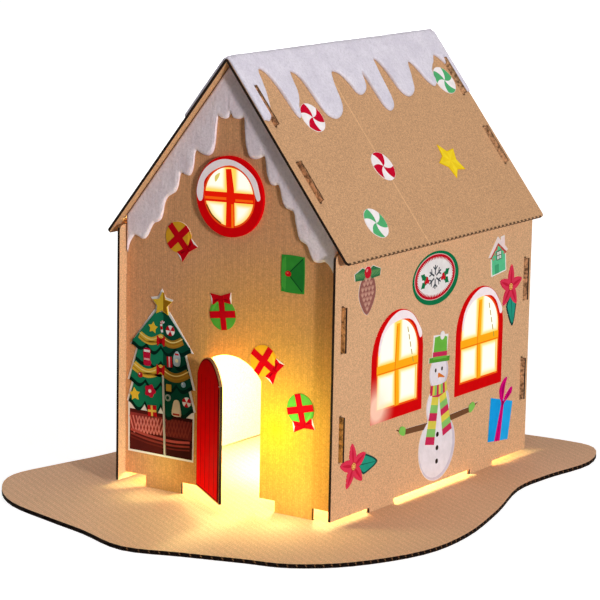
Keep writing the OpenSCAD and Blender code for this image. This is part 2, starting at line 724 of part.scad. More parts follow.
module lamp_dome() {
    dome_r = (dome_d * dome_d / 4 + dome_h * dome_h) / (2 * dome_h);
    color(pane_glow) translate([0, 0, base_t + lamp_h]) intersection() {
        translate([0, 0, dome_h - dome_r]) sphere(dome_r);
        cylinder(h = 2 * dome_h, d = 2 * dome_d);
    }
}

base_board();
front_wall();
back_wall();
side_wall(-1);  // left_wall
side_wall(1);  // right_wall
roof();
roof_snow();
gable_snow();
round_window();
side_window(1, front_window_at);  // right_front_window
side_window(1, back_window_at);  // right_back_window
side_window(-1, front_window_at);  // left_front_window
side_window(-1, back_window_at);  // left_back_window
door_sticker();
tree_sticker();
envelope_sticker();
parcel_sticker(yellow_parcel_high_at, 222, yellow);  // yellow_parcel_high
parcel_sticker(green_parcel_high_at, 8, green);  // green_parcel_high
parcel_sticker(yellow_parcel_low_at, 238, yellow);  // yellow_parcel_low
parcel_sticker(green_parcel_low_at, 194, green);  // green_parcel_low
pine_cone_sticker();
badge_sticker();
cottage_sticker();
poinsettia(poinsettia_high_at, 15, -82);  // poinsettia_high
poinsettia(poinsettia_low_at, 25, -4);  // poinsettia_low
snowman_sticker();
gift_box_sticker();
sweet(red_sweet_high_at);  // red_sweet_high
sweet(red_sweet_low_at);  // red_sweet_low
sweet(green_sweet_low_at);  // green_sweet_low
sweet(green_sweet_high_at);  // green_sweet_high
star_sticker();
lamp_housing();
lamp_dome();
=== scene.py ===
import math

import bpy
import numpy as np
from mathutils import Matrix, Vector

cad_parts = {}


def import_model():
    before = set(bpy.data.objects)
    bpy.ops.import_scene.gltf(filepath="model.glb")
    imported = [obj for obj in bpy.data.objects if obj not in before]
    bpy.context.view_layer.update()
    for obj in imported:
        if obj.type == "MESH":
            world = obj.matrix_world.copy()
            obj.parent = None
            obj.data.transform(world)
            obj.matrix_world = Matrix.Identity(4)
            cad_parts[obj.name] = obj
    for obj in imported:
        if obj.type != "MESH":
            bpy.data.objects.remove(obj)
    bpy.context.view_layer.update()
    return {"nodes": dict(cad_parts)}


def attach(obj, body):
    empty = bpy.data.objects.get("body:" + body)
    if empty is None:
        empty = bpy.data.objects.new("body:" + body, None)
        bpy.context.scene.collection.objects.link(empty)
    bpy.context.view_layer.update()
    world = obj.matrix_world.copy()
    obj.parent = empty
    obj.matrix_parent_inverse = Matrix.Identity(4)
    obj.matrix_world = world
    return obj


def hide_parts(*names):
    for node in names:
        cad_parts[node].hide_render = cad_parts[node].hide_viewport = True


# Looks of the card house: kraft card with burnt cut edges, felt snow, printed stickers, and windows lit
# from inside. Shapes are worked out in millimetres in the house's frame (X right, Y back, Z up) and stored
# in metres.

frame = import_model()
nodes = frame["nodes"]

MM = 0.001
WALL_T = 1.2
WALL_Z = 3.9
WALL_H = 112
WALL_GAP = 2.4
EAVE_OUT = 6
HALF_W = 56.0
HALF_D = 80.0
GABLE_FACE = 75.0
FIT_GAP = 0.15
PITCH = math.radians(52)
RIDGE = WALL_Z + WALL_H + WALL_GAP + HALF_W * math.tan(PITCH)
APEX = RIDGE - FIT_GAP / math.cos(PITCH)
SLOPE_LEN = (HALF_W + EAVE_OUT) / math.cos(PITCH) - WALL_T * math.tan(PITCH)
FLUTE = 3.3
BASE_FLUTE_ANGLE = math.radians(60)
FELT_T = 1.4
STICKER_T = 0.25
LAYER_T = 0.025
PAD_T = 1.6
HAIR = 0.0015
HAIRS = 14
TAB_Y = 74.4
TAB_S = 23.5
DOOR_HALF = 16.5
DOOR_ANGLE = math.radians(37)
HINGE = np.array([-DOOR_HALF, -GABLE_FACE, 0.0])
SLOPE_DOWN = np.array([math.cos(PITCH), 0, -math.sin(PITCH)])
SLOPE_OUT = np.array([math.sin(PITCH), 0, math.cos(PITCH)])
DOOR_ALONG = np.array([math.cos(DOOR_ANGLE), -math.sin(DOOR_ANGLE), 0])
DOOR_OUT = np.array([-math.sin(DOOR_ANGLE), -math.cos(DOOR_ANGLE), 0])
UP = np.array([0, 0, 1])

# Where stickers lie: a point of the surface, its directions across and up, and its outward normal
FRONT = (np.array([0, -GABLE_FACE, 0]), np.array([1, 0, 0]), UP, np.array([0, -1, 0]))
RIGHT = (np.array([HALF_W, 0, 0]), np.array([0, 1, 0]), UP, np.array([1, 0, 0]))
LEFT = (np.array([-HALF_W, 0, 0]), np.array([0, -1, 0]), UP, np.array([-1, 0, 0]))
SLOPE = (np.array([0, 0, RIDGE]) + WALL_T * SLOPE_OUT, np.array([0, 1, 0]), -SLOPE_DOWN, SLOPE_OUT)
DOOR = (HINGE, DOOR_ALONG, UP, DOOR_OUT)


def ink(r, g, b):
    """Linear colour of a display colour given in steps of 0 to 255, by the standard display curve."""
    c = np.array([r, g, b]) / 255
    lin = np.where(c <= 0.04045, c / 12.92, ((c + 0.055) / 1.055) ** 2.4)
    return (*lin, 1.0)


def scaled(tone, share):
    """Tone made darker or lighter, up to white."""
    return (*np.minimum(1, np.array(tone[:3]) * share), 1.0)


def mixed(a, b, share):
    return tuple(np.array(a) * (1 - share) + np.array(b) * share)


# Materials

def fill(node, inputs):
    """Gives each input of a node its value, or links it to a socket."""
    for key, value in inputs.items():
        if isinstance(value, bpy.types.NodeSocket):
            node.id_data.links.new(value, node.inputs[key])
        else:
            node.inputs[key].default_value = value


def put(tree, kind, inputs=None, **settings):
    """Adds a node with its settings and inputs."""
    n = tree.nodes.new(kind)
    for key, value in settings.items():
        setattr(n, key, value)
    fill(n, inputs or {})
    return n


def join(kind, inputs, **settings):
    """Adds a node to the tree that its first linked input belongs to."""
    tree = next(v.id_data for v in inputs.values() if isinstance(v, bpy.types.NodeSocket))
    return put(tree, kind, inputs, **settings)


def new_material(name):
    """New material, its shader, and the place on the piece that its patterns read."""
    m = bpy.data.materials.new(name)
    m.use_nodes = True
    return m, m.node_tree.nodes["Principled BSDF"], put(m.node_tree, "ShaderNodeTexCoord").outputs["Object"]


def calc(operation, a, b=0.0):
    return join("ShaderNodeMath", {0: a, 1: b}, operation=operation).outputs[0]


def times(a, b):
    return calc("MULTIPLY", a, b)


def plus(a, b):
    return calc("ADD", a, b)


def minus(a, b):
    return calc("SUBTRACT", a, b)


def size_of(a):
    return calc("ABSOLUTE", a)


def above(a, b):
    return calc("GREATER_THAN", a, b)


def below(a, b):
    return calc("LESS_THAN", a, b)


def dot(vector, axis):
    return join("ShaderNodeVectorMath", {0: vector, 1: tuple(axis)}, operation="DOT_PRODUCT").outputs["Value"]


def away_from(where, place):
    """Distance from a place given in millimetres."""
    place = tuple(c * MM for c in place)
    return join("ShaderNodeVectorMath", {0: where, 1: place}, operation="DISTANCE").outputs["Value"]


def parts(vector):
    return join("ShaderNodeSeparateXYZ", {0: vector}).outputs[:]


def facing(bsdf):
    return put(bsdf.id_data, "ShaderNodeNewGeometry").outputs["True Normal"]


def remap(value, low, high, to_low=0.0, to_high=1.0):
    return join("ShaderNodeMapRange", {0: value, 1: low, 2: high, 3: to_low, 4: to_high}).outputs[0]


def blend(share, a, b, mode="MIX"):
    return join("ShaderNodeMix", {0: share, 6: a, 7: b}, data_type="RGBA", blend_type=mode).outputs[2]


def grain(where, scale, detail=3.0, rough=0.6, stretch=None):
    """Noise of the given scale per metre, stretched by a factor on each axis."""
    if stretch:
        where = join("ShaderNodeMapping", {"Vector": where, "Scale": stretch}).outputs[0]
    return join("ShaderNodeTexNoise",
                {"Vector": where, "Scale": scale, "Detail": detail, "Roughness": rough}).outputs[0]


def bump(bsdf, height, strength, distance):
    n = join("ShaderNodeBump", {"Height": height, "Strength": strength, "Distance": distance})
    fill(bsdf, {"Normal": n.outputs[0]})


# Burnt colours of the laser-cut edges, also used as painted shade in the flute gaps, channels and openings.
BURNT_AND_SHADE = (ink(14, 8, 6), ink(44, 27, 18))
SINGED = (ink(96, 62, 40), ink(188, 140, 98))
LAMP_YELLOW = (1.0, 1.0, 0.03, 1)
FIBRE_SCALE = 1200
SPECK_SCALE = 1700
SCORCH_SCALE = 620
CLOUD_SCALE = 60


def kraft_card(name, tone, across, along, sheet=None, flute_depth=0.5, creases=(), warm=None, mid=None,
               shade_dashes=None, speckle=1.0, inside=None):
    """Kraft card: speckled and fibrous liner, flute lines along its flutes, darkened partly as painted shade
    between them, pressed creases, and cut edges that are burnt black along the flutes and brown across them.
    across and along are the directions over and along the flutes, and sheet is the liner's normal, or None on
    the folded roof. warm is a place and a reach in millimetres where the colour is deepened towards lamp
    yellow: painted light of the lamp shining through the card. mid is how far the sheet's middle lies from
    the origin, where its cut ends show the wavy paper between the liners, with the gaps between them painted
    burnt black as shade, and its tabs are scorched. shade_dashes gives the part of the flute wave that shows
    as dark dashes along the cut ends instead, painted shade of the flute openings. speckle is the grain's
    strength. Between the two heights of inside, in millimetres along the sheet's normal, lie the flute
    channels, painted dark as shade."""
    m, bsdf, where = new_material(name)
    normal = facing(bsdf)
    cloud = grain(where, CLOUD_SCALE, 2.0, 0.5)
    fibre = grain(where, FIBRE_SCALE, 3.0, 0.65, tuple(1 - 0.45 * abs(a) for a in along))
    speck = grain(where, SPECK_SCALE, 2.0, 0.6)
    phase = times(dot(where, across), 2 * math.pi / (FLUTE * MM))
    wave = calc("SINE", plus(phase, times(cloud, 0.6)))
    fine_wave = calc("SINE", times(phase, 3.0))
    lines = plus(times(wave, 0.5), times(fine_wave, 0.5))
    dark, light = scaled(tone, 0.72), scaled(tone, 1.22)
    colour = blend(remap(cloud, 0.3, 0.7), mixed(tone, dark, 0.14), mixed(tone, light, 0.14))
    colour = blend(remap(fibre, 0.36, 0.64, 0.35 - 0.35 * speckle, 0.35 + 0.35 * speckle), colour, dark)
    colour = blend(remap(speck, 0.5, 0.66, 0.0, speckle), colour, light)
    colour = blend(remap(speck, 0.48, 0.28, 0.0, 0.8 * speckle), colour, scaled(tone, 0.5))
    # Darker along the flute lines: partly painted shade between the flutes.
    colour = blend(remap(lines, -1, 1, 0.0, 0.30 * flute_depth), colour, dark)
    height = plus(times(fibre, 0.35), times(lines, 0.22 * flute_depth))
    # Painted light: round the doorway the colour is deepened towards lamp yellow, a pool of the lamp's light
    # painted on the card.
    if warm:
        place, reach = warm
        share = remap(away_from(where, place), 0.0, reach * MM, 0.95, 0.0)
        colour = blend(share, colour, LAMP_YELLOW, "MULTIPLY")
    x, y, z = parts(where)
    wide = size_of(x)
    under_ridge = minus(z, RIDGE * MM)
    for place, width, strength in creases:
        pressed = times(remap(size_of(minus(y, place * MM)), width * MM, 0.0), above(x, 0.0))
        colour = blend(times(pressed, strength), colour, scaled(tone, 1.7))
        height = minus(height, times(pressed, 0.8 * strength))
    if sheet is None:
        nx, ny, nz = parts(normal)
        flat = plus(times(times(nx, calc("SIGN", x)), SLOPE_OUT[0]), times(nz, SLOPE_OUT[2]))
        end = minus(1.0, size_of(ny))
    else:
        flat, end = dot(normal, sheet), size_of(dot(normal, along))
    cut = below(size_of(flat), 0.7)
    # Painted shade: surfaces between the two heights of inside, the flute channel walls among them, take the
    # cut edge's burnt colours.
    if inside:
        level = dot(where, sheet)
        flute_shade = times(above(level, inside[0] * MM), below(level, inside[1] * MM))
        cut = calc("MAXIMUM", cut, flute_shade)
    burnt = blend(remap(fibre, 0.35, 0.7), *BURNT_AND_SHADE)
    singed = blend(remap(fibre, 0.3, 0.7), *SINGED)
    if mid:
        # Painted shade: the gaps between the liners on the cut ends take the burnt black, standing in for the
        # shade inside the flutes.
        level = calc("DIVIDE", minus(size_of(dot(where, sheet)), mid * MM), 0.42 * WALL_T * MM)
        off_paper = size_of(minus(level, times(wave, 0.7)))
        flute_shade = times(remap(off_paper, 0.3, 0.5), remap(size_of(level), 1.0, 0.85))
        singed = blend(flute_shade, singed, burnt)
        over_roof = plus(times(wide, SLOPE_OUT[0]), times(under_ridge, SLOPE_OUT[2]))
        tab = calc("MAXIMUM", above(over_roof, 0.9 * WALL_T * MM), above(wide, (HALF_W - 0.1) * MM))
        scorched = times(tab, remap(grain(where, SCORCH_SCALE), 0.42, 0.62, 0.0, 0.75))
        colour = blend(scorched, colour, burnt)
    # Painted shade: dark dashes of the burnt colour where the flute openings fall along the cut ends, and on
    # the roof's face along its lower edge.
    if shade_dashes:
        dash_shade = remap(wave, *shade_dashes)
        singed = blend(dash_shade, singed, burnt)
        if sheet is None:
            down = plus(times(wide, SLOPE_DOWN[0]), times(under_ridge, SLOPE_DOWN[2]))
            eave_dash_shade = remap(down, (SLOPE_LEN - 0.9) * MM, (SLOPE_LEN - 0.6) * MM, 0.0, 0.85)
            colour = blend(times(eave_dash_shade, dash_shade), colour, burnt)
    edge = blend(above(end, 0.55), burnt, singed)
    fill(bsdf, {"Base Color": blend(cut, colour, edge), "Roughness": remap(fibre, 0.3, 0.7, 0.82, 0.96),
                "Specular IOR Level": 0.15})
    bump(bsdf, height, 0.3, 0.0003)
    return m


def felt(name, thin, thick):
    """Needled white felt: cloudy between its thin and thick tones, tangled fibres and a soft sheen."""
    m, bsdf, where = new_material(name)
    cloud = grain(where, 120)
    tangle = grain(where, 900, 5.0, 0.75)
    hair = grain(where, 2400, 3.0, 0.6, (1.0, 0.3, 1.0))
    colour = blend(remap(cloud, 0.3, 0.7), thin, thick)
    colour = blend(remap(tangle, 0.55, 0.3, 0.0, 0.5), colour, scaled(thin, 0.66))
    colour = blend(remap(hair, 0.6, 0.75, 0.0, 0.5), colour, ink(250, 248, 252))
    fill(bsdf, {"Base Color": colour, "Roughness": 0.95, "Specular IOR Level": 0.1,
                "Sheen Weight": 0.25, "Sheen Roughness": 0.6})
    bump(bsdf, plus(tangle, times(hair, 0.5)), 0.6, 0.0005)
    return m


def printed(name, painted_lamp_spot=None):
    """Printed vinyl: the ink and its glow come from the piece's own attributes, over a faint paper tooth.
    Where it glows, less light is thrown back. painted_lamp_spot is a place and a reach in millimetres where
    the ink is paled and made to glow: a painted bright spot of the lamp close behind."""
    m, bsdf, where = new_material(name)
    black = (0, 0, 0, 1)
    colour = put(m.node_tree, "ShaderNodeAttribute", attribute_name="ink").outputs["Color"]
    glow = put(m.node_tree, "ShaderNodeAttribute", attribute_name="glow").outputs["Fac"]
    tooth = grain(where, 1800)
    cloud = grain(where, 260, 2.0)
    # Painted light: near the lamp's place the ink turns pale and glows, the lamp's bright spot painted into
    # the print.
    if painted_lamp_spot:
        place, reach = painted_lamp_spot
        near = remap(away_from(where, place), 0.3 * reach * MM, reach * MM, 1.0, 0.0)
        near = times(near, near)
        colour = blend(times(near, 0.7), colour, ink(255, 226, 198))
        glow = calc("MAXIMUM", glow, times(near, 0.85))
    shade = blend(remap(cloud, 0.3, 0.7, 0.0, 0.12), colour, black)
    shade = blend(times(glow, 0.85), shade, black)
    fill(bsdf, {"Base Color": shade, "Emission Color": colour, "Emission Strength": glow,
                "Roughness": remap(tooth, 0.3, 0.7, 0.5, 0.68), "Specular IOR Level": 0.01})
    bump(bsdf, tooth, 0.12, 0.0001)
    return m


def vinyl():
    """White sticker paper under the prints, satin with a slight tooth."""
    m, bsdf, where = new_material("white_vinyl")
    tooth = grain(where, 1500)
    fill(bsdf, {"Base Color": blend(remap(tooth, 0.3, 0.7), ink(232, 228, 226), ink(246, 244, 242)),
                "Roughness": remap(tooth, 0.3, 0.7, 0.5, 0.68), "Specular IOR Level": 0.1})
    bump(bsdf, tooth, 0.15, 0.0001)
    return m


def lit_pane(name, out):
    """Window paper lit from behind: its faces glow, with cloudy paper, and its cut rim along the wall
    doesn't."""
    m, bsdf, where = new_material(name)
    cloud = grain(where, 90)
    colour = blend(remap(cloud, 0.35, 0.7), ink(255, 244, 196), ink(255, 252, 232))
    face = above(size_of(dot(facing(bsdf), out)), 0.7)
    fill(bsdf, {"Base Color": colour, "Emission Color": colour, "Roughness": 0.6,
                "Emission Strength": times(face, remap(cloud, 0.3, 0.7, 0.7, 0.95))})
    return m


def lamp_plastic():
    """Moulded white plastic with a faint orange peel and dust."""
    m, bsdf, where = new_material("lamp_plastic")
    dust = grain(where, 240, 4.0, 0.7)
    share = remap(dust, 0.45, 0.75, 0.0, 0.4)
    fill(bsdf, {"Base Color": blend(share, ink(238, 238, 234), ink(206, 200, 190)),
                "Roughness": remap(dust, 0.4, 0.7, 0.25, 0.5)})
    bump(bsdf, grain(where, 900, 2.0), 0.1, 0.0001)
    return m


def lamp_light():
    """Frosted dome with the light inside it, brightest in the middle."""
    m, bsdf, where = new_material("lamp_light")
    frost = grain(where, 1200)
    reach = join("ShaderNodeVectorMath", {0: where, 1: (1, 1, 0)}, operation="MULTIPLY").outputs[0]
    fill(bsdf, {"Base Color": blend(frost, ink(255, 222, 150), ink(255, 240, 200)),
                "Emission Color": ink(255, 214, 120), "Roughness": 0.6,
                "Emission Strength": remap(away_from(reach, (0, 0, 0)), 0.0, 0.016, 7.0, 2.5)})
    bump(bsdf, frost, 0.2, 0.0002)
    return m


KRAFT = ink(225, 179, 137)
# Front card tone, warmer than the same card elsewhere: painted warm fill light and shade on the front wall.
KRAFT_FRONT_PAINTED_SHADE = ink(228, 167, 120)
# Roof tone, a shade darker than the same card on the walls: painted shade against the light from above.
KRAFT_ROOF_PAINTED_SHADE = ink(207, 162, 121)
KRAFT_BASE = ink(234, 188, 150)
DOORWAY_GLOW = ((24, -75, 38), 80)
WINDOW_GLOW = ((56, -47, 46), 15)
ROOF_CREASES = [(-17.2, 0.6, 0.42), (0.6, 0.5, 0.12)]
ROOF_FELT = felt("white_felt_roof", ink(218, 213, 229), ink(234, 230, 243))
# Gable felt, a brighter copy of the roof felt: painted light on the front gable.
GABLE_FELT_PAINTED_LIGHT = felt("white_felt_gable_painted_light", ink(240, 224, 236), ink(252, 240, 250))
PRINT = printed("printed_vinyl")
LIT_PRINT = printed("lit_vinyl", WINDOW_GLOW)
VINYL = vinyl()
# Front card: painted yellow light round the doorway, on the warmer front tone.
front_card = kraft_card("kraft_front_painted_shade", KRAFT_FRONT_PAINTED_SHADE, (1, 0, 0), (0, 0, 1), (0, 1, 0), 1.7,
                        warm=DOORWAY_GLOW, mid=TAB_Y, speckle=0.6)
gable_card = kraft_card("kraft_gable", KRAFT, (1, 0, 0), (0, 0, 1), (0, 1, 0), 1.0, mid=TAB_Y)
side_card = kraft_card("kraft_side", KRAFT, (0, 1, 0), (0, 0, 1), (1, 0, 0), 0.35, speckle=0.75)
roof_card = kraft_card("kraft_roof_painted_shade", KRAFT_ROOF_PAINTED_SHADE, (0, 1, 0), SLOPE_DOWN, None, 0.35, ROOF_CREASES,
                       shade_dashes=(-0.5, 0.1), speckle=0.8)
base_card = kraft_card("kraft_base", KRAFT_BASE,
                       (math.cos(BASE_FLUTE_ANGLE), math.sin(BASE_FLUTE_ANGLE), 0),
                       (-math.sin(BASE_FLUTE_ANGLE), math.cos(BASE_FLUTE_ANGLE), 0), (0, 0, 1), 2.2,
                       shade_dashes=(-1.0, -0.75), inside=(0.1, 1.7))
side_pane = lit_pane("lit_side_pane", (1, 0, 0))
finish_of = {
    "front_wall": front_card, "back_wall": gable_card, "left_wall": side_card, "right_wall": side_card,
    "roof": roof_card, "base_board": base_card, "lamp_housing": lamp_plastic(), "lamp_dome": lamp_light(),
    "round_window": lit_pane("lit_round_pane", (0, 1, 0)),
}
for name, cad_node in nodes.items():
    finish = finish_of.get(name, side_pane if name.endswith("window") else VINYL)
    for place in cad_node.material_slots:
        place.material = finish


# Meshes

def make_piece(name, points, faces, material, smooth=False):
    """Mesh piece from points in millimetres, riding on the house."""
    mesh = bpy.data.meshes.new(name)
    mesh.from_pydata((np.asarray(points) * MM).tolist(), [], faces)
    mesh.materials.append(material)
    mesh.polygons.foreach_set("use_smooth", np.full(len(mesh.polygons), smooth))
    mesh.update()
    piece = bpy.data.objects.new(name, mesh)
    bpy.context.scene.collection.objects.link(piece)
    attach(piece, "root")
    return piece


def grid_quads(rows, columns, start=0, flip=False):
    """Corner numbers of a grid's quads, row by row."""
    i = (np.arange(rows - 1)[:, None] * columns + np.arange(columns - 1)).ravel() + start
    quads = np.stack([i, i + 1, i + columns + 1, i + columns], 1)
    return quads[:, ::-1] if flip else quads


def rim_numbers(rows, columns):
    """Corner numbers once round the rim of a grid."""
    top = np.arange(columns)
    right = np.arange(1, rows) * columns + columns - 1
    bottom = (rows - 1) * columns + np.arange(columns - 2, -1, -1)
    left = np.arange(rows - 2, 0, -1) * columns
    return np.concatenate([top, right, bottom, left])


def smooth_noise(shape, step, seed):
    """Random heights on a coarse grid, carried to the full grid by cosine-eased interpolation."""
    rng = np.random.default_rng(seed)
    out = np.zeros(shape)
    for k, share in ((1, 0.6), (3, 0.4)):
        coarse = rng.uniform(-1, 1, (shape[0] * k // step + 3, shape[1] * k // step + 3))
        u = np.arange(shape[0])[:, None] * k / step
        v = np.arange(shape[1])[None, :] * k / step
        i, j = u.astype(int), v.astype(int)
        a, b = (1 - np.cos((u - i) * np.pi)) / 2, (1 - np.cos((v - j) * np.pi)) / 2
        low = coarse[i, j] * (1 - b) + coarse[i, j + 1] * b
        high = coarse[i + 1, j] * (1 - b) + coarse[i + 1, j + 1] * b
        out += share * (low * (1 - a) + high * a)
    return out


def smooth_line(points, steps=8, closed=False):
    """Catmull-Rom curve through the points: each stretch is the cubic with slopes from its neighbours."""
    p = np.asarray(points, float)
    if closed:
        p = np.concatenate([p[-1:], p, p[:2]])
    else:
        p = np.concatenate([p[:1], p, p[-1:]])
    a, b, c, d = p[:-3, None], p[1:-2, None], p[2:-1, None], p[3:, None]
    t = np.linspace(0, 1, steps, endpoint=False)[None, :, None]
    line = 0.5 * (2 * b + (c - a) * t + (2 * a - 5 * b + 4 * c - d) * t ** 2
                  + (3 * b - a - 3 * c + d) * t ** 3)
    line = line.reshape(-1, p.shape[1])
    return line if closed else np.concatenate([line, p[-1:]])


# Felt snow

ROOF_DRIPS = np.array([
    [-79, 29.6], [-77, 30.3], [-74.6, 28.4], [-72.4, 25], [-70, 20], [-68.4, 15], [-66.6, 8.4],
    [-63.8, 6.1], [-61, 8.4], [-59.4, 12.6], [-58.5, 17], [-57.9, 22], [-57.4, 27], [-56.7, 30],
    [-55.6, 31.4], [-54.4, 30], [-53, 27], [-50.6, 24.2], [-48.2, 20.6], [-46.8, 14.6], [-45.4, 10.4],
    [-43.4, 9.5], [-40.8, 11.2], [-39.3, 14.5], [-38.6, 19], [-38, 24], [-37.2, 28.4], [-35.4, 32.4],
    [-31.5, 34.4], [-27.7, 33.8], [-24.4, 31.8], [-22, 28], [-20.6, 23], [-19, 18], [-16.6, 13.2],
    [-13.8, 12.2], [-10.7, 13.7], [-8.6, 16.6], [-7.3, 20], [-6.2, 23.6], [-3.7, 25.2], [-0.2, 24.4],
    [2.6, 22], [4.2, 18], [5.4, 14.8], [6.2, 14.2], [6.7, 17], [7, 22], [7.3, 27], [7.9, 31.6], [9.3, 34.2],
    [11.3, 35], [14, 34], [15.8, 31], [16.6, 26], [17.3, 20], [18.2, 14.6], [19.2, 10], [20.4, 9],
    [22.4, 10], [23.9, 13], [24.9, 16.6], [25.5, 21], [26.4, 25.4], [28.2, 28.4], [31, 29.7], [34.6, 29],
    [37.2, 27], [39.2, 23.6], [41.6, 19], [43.6, 14.6], [45.8, 12.8], [47.8, 14.4], [49.4, 18], [51, 22.4],
    [53.2, 25.6], [55.4, 26.8], [57.2, 25.4], [57.9, 22.6], [59.2, 19.6], [61.8, 17], [64.4, 15.2],
    [66.4, 13], [68.4, 11.4], [71, 12.8], [73.4, 16], [74.9, 20], [75.6, 25], [76.2, 29], [77.2, 31.4],
    [78.6, 32.2]])
GABLE_DRIPS = np.array([
    [-54.2, 16.6], [-53.2, 14.2], [-51.8, 13.4], [-50.2, 13.8], [-48.3, 16.6], [-46.4, 19.8], [-44.6, 21.8],
    [-43, 21.9], [-41.4, 20.8], [-39.9, 20.7], [-38, 22.4], [-36.4, 23.2], [-35.3, 22], [-34.5, 18.8],
    [-33, 17.8], [-31, 18.9], [-28.8, 20.3], [-27.4, 19.4], [-26.8, 16.6], [-25.8, 15.8], [-23.6, 19.2],
    [-21.6, 21.9], [-20.2, 21.9], [-19.4, 19.6], [-18.9, 15.8], [-17.8, 15.8], [-15.4, 20], [-13, 23.6],
    [-11, 25.8], [-9.5, 26.1], [-8.5, 23.8], [-7.9, 18], [-7.2, 14], [-5.8, 16.2], [-3.8, 19.2], [-2, 20.8],
    [-0.7, 20.5], [0.3, 22.4], [1.8, 21.2], [3.8, 18.6], [5.7, 15.4], [6.6, 14.9], [7.1, 17.8], [7.6, 23],
    [8.4, 26.6], [9.6, 26.8], [11.6, 24.6], [14, 21], [16.2, 17.1], [17.3, 16.4], [18.1, 18.8],
    [18.8, 22.4], [19.9, 23.4], [21.6, 21.8], [23.4, 19], [24.4, 18.3], [25.4, 19.8], [26.4, 22.3],
    [27.8, 22.5], [29.8, 20.6], [31.4, 19], [32.5, 19.4], [33.4, 22.6], [34.6, 25.6], [36, 25.2],
    [38, 23.4], [39.4, 23.2], [41, 24.8], [42.6, 24.4], [45, 21.4], [47.6, 17.4], [49.6, 16.1],
    [51.6, 15.9], [53.4, 17.4]])
FELT_ROUND = 1.3
FELT_EDGE = 0.3
FELT_FOOT = 0.03
LUMP_STEP = 14
LUMP_H = 0.10
FUZZ_STEP = 5
FUZZ_H = 0.05
SLIT_HALF = 0.75
SLIT_TOP = TAB_S - 10.1


def rim_distance(u, v):
    """Distance of every grid point from the grid's own rim, point by point."""
    at = np.stack([u, v], -1).reshape(-1, 2).astype(np.float32)
    rim = at[rim_numbers(*u.shape)]
    away = np.concatenate([
        np.sqrt(((part[:, None] - rim[None]) ** 2).sum(-1)).min(1) for part in np.array_split(at, 40)])
    return away.reshape(u.shape)


def sheet_piece(name, over, under, material, smooth=True):
    """Closed thin sheet from two grids of points, the upper and the lower one, joined round their rims."""
    rows, columns = over.shape[:2]
    count = rows * columns
    rim = rim_numbers(rows, columns)
    nxt = np.roll(rim, -1)
    side = np.stack([rim, rim + count, nxt + count, nxt], 1)
    faces = np.concatenate([grid_quads(rows, columns), grid_quads(rows, columns, count, True), side])
    points = np.concatenate([over.reshape(-1, 3), under.reshape(-1, 3)])
    return make_piece(name, points, faces.tolist(), material, smooth)


def felt_piece(name, u, v, to_space, seed, material):
    """Felt sheet on a grid of flat places u and v: its thickness rises from the rim as a quarter round, and
    its top is roughened. to_space carries (u, v, height) to the house's frame."""
    rise = np.clip(rim_distance(u, v) / FELT_ROUND, 0, 1)
    round_edge = np.sqrt(1 - (1 - rise) ** 2)
    lumps = smooth_noise(u.shape, LUMP_STEP, seed) * LUMP_H
    rough = lumps + smooth_noise(u.shape, FUZZ_STEP, seed + 1) * FUZZ_H
    over = to_space(u, v, FELT_T * (FELT_EDGE + (1 - FELT_EDGE) * round_edge) + rough * rise)
    return sheet_piece(name, over, to_space(u, v, np.full(u.shape, FELT_FOOT)), material)


def ridge_path(w, y, height):
    """Place over the ridge: w runs across the house along the roof's outside, round the fold and down both
    slopes."""
    r = WALL_T
    bend = PITCH * r
    turn = np.clip(w, -bend, bend) / r
    down = np.clip(np.abs(w) - bend, 0, None)
    sign = np.sign(w)
    out = r + height
    x = np.sin(turn) * out + sign * down * math.cos(PITCH)
    z = RIDGE + np.cos(turn) * out - down * math.sin(PITCH)
    return np.stack([x, y, z], -1)


def roof_felt():
    """Felt over the ridge: columns along the house, each running from the left drip edge to the right one.
    At the slits for the roof tabs the edge jumps up to the slit's top."""
    columns, half_rows = 420, 29
    end = HALF_D - FIT_GAP
    line = smooth_line(ROOF_DRIPS)
    slit = TAB_Y + np.array([-SLIT_HALF, SLIT_HALF])
    jump = np.array([-0.03, 0.03])
    y = np.unique(np.concatenate([np.linspace(-end, end, columns), slit, -slit, slit + jump, -slit - jump]))
    right = np.interp(y, line[:, 0] * end / HALF_D, line[:, 1])
    in_slit = np.abs(np.abs(y) - TAB_Y) < SLIT_HALF + 0.001
    right = np.where(in_slit, np.minimum(right, SLIT_TOP), right)
    left = right[::-1]
    bend = PITCH * WALL_T
    half = 1 - (1 - np.linspace(0, 1, half_rows)) ** 1.25
    w = np.concatenate([-(left + bend)[None] * half[::-1, None], (right + bend)[None] * half[1:, None]])
    piece = felt_piece("roof_felt", w, np.broadcast_to(y, w.shape), ridge_path, 11, ROOF_FELT)
    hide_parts("roof_snow")


def gable_felt():
    """Felt on the front gable: columns across the house, each from the roof's slope down to the drip
    edge."""
    columns, rows = 421, 25
    line = smooth_line(GABLE_DRIPS)
    x = np.linspace(line[0, 0], line[-1, 0], columns)
    drop = np.interp(x, line[:, 0], line[:, 1])
    top = APEX - np.abs(x) * math.tan(PITCH) - FIT_GAP
    share = np.linspace(0, 1, rows)[:, None]
    z = top - (drop - FIT_GAP) * share
    xs = np.broadcast_to(x, z.shape)
    piece = felt_piece("gable_felt", xs, z,
                       lambda a, b, h: np.stack([a, -GABLE_FACE - h, b], -1), 23, GABLE_FELT_PAINTED_LIGHT)
    piece.data.flip_normals()
    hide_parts("gable_snow")


roof_felt()
gable_felt()


# Prints: each is a stack of flat ink shapes, drawn in millimetres on the sticker's face

def ring(n=48):
    a = np.linspace(0, 2 * np.pi, n, endpoint=False)
    return np.stack([np.cos(a), np.sin(a)], 1)


def oval(at, rx, ry=None, lean=0, n=48):
    """Ellipse about a point, turned by lean degrees."""
    return moved(ring(n) * [rx, ry or rx], at, lean)


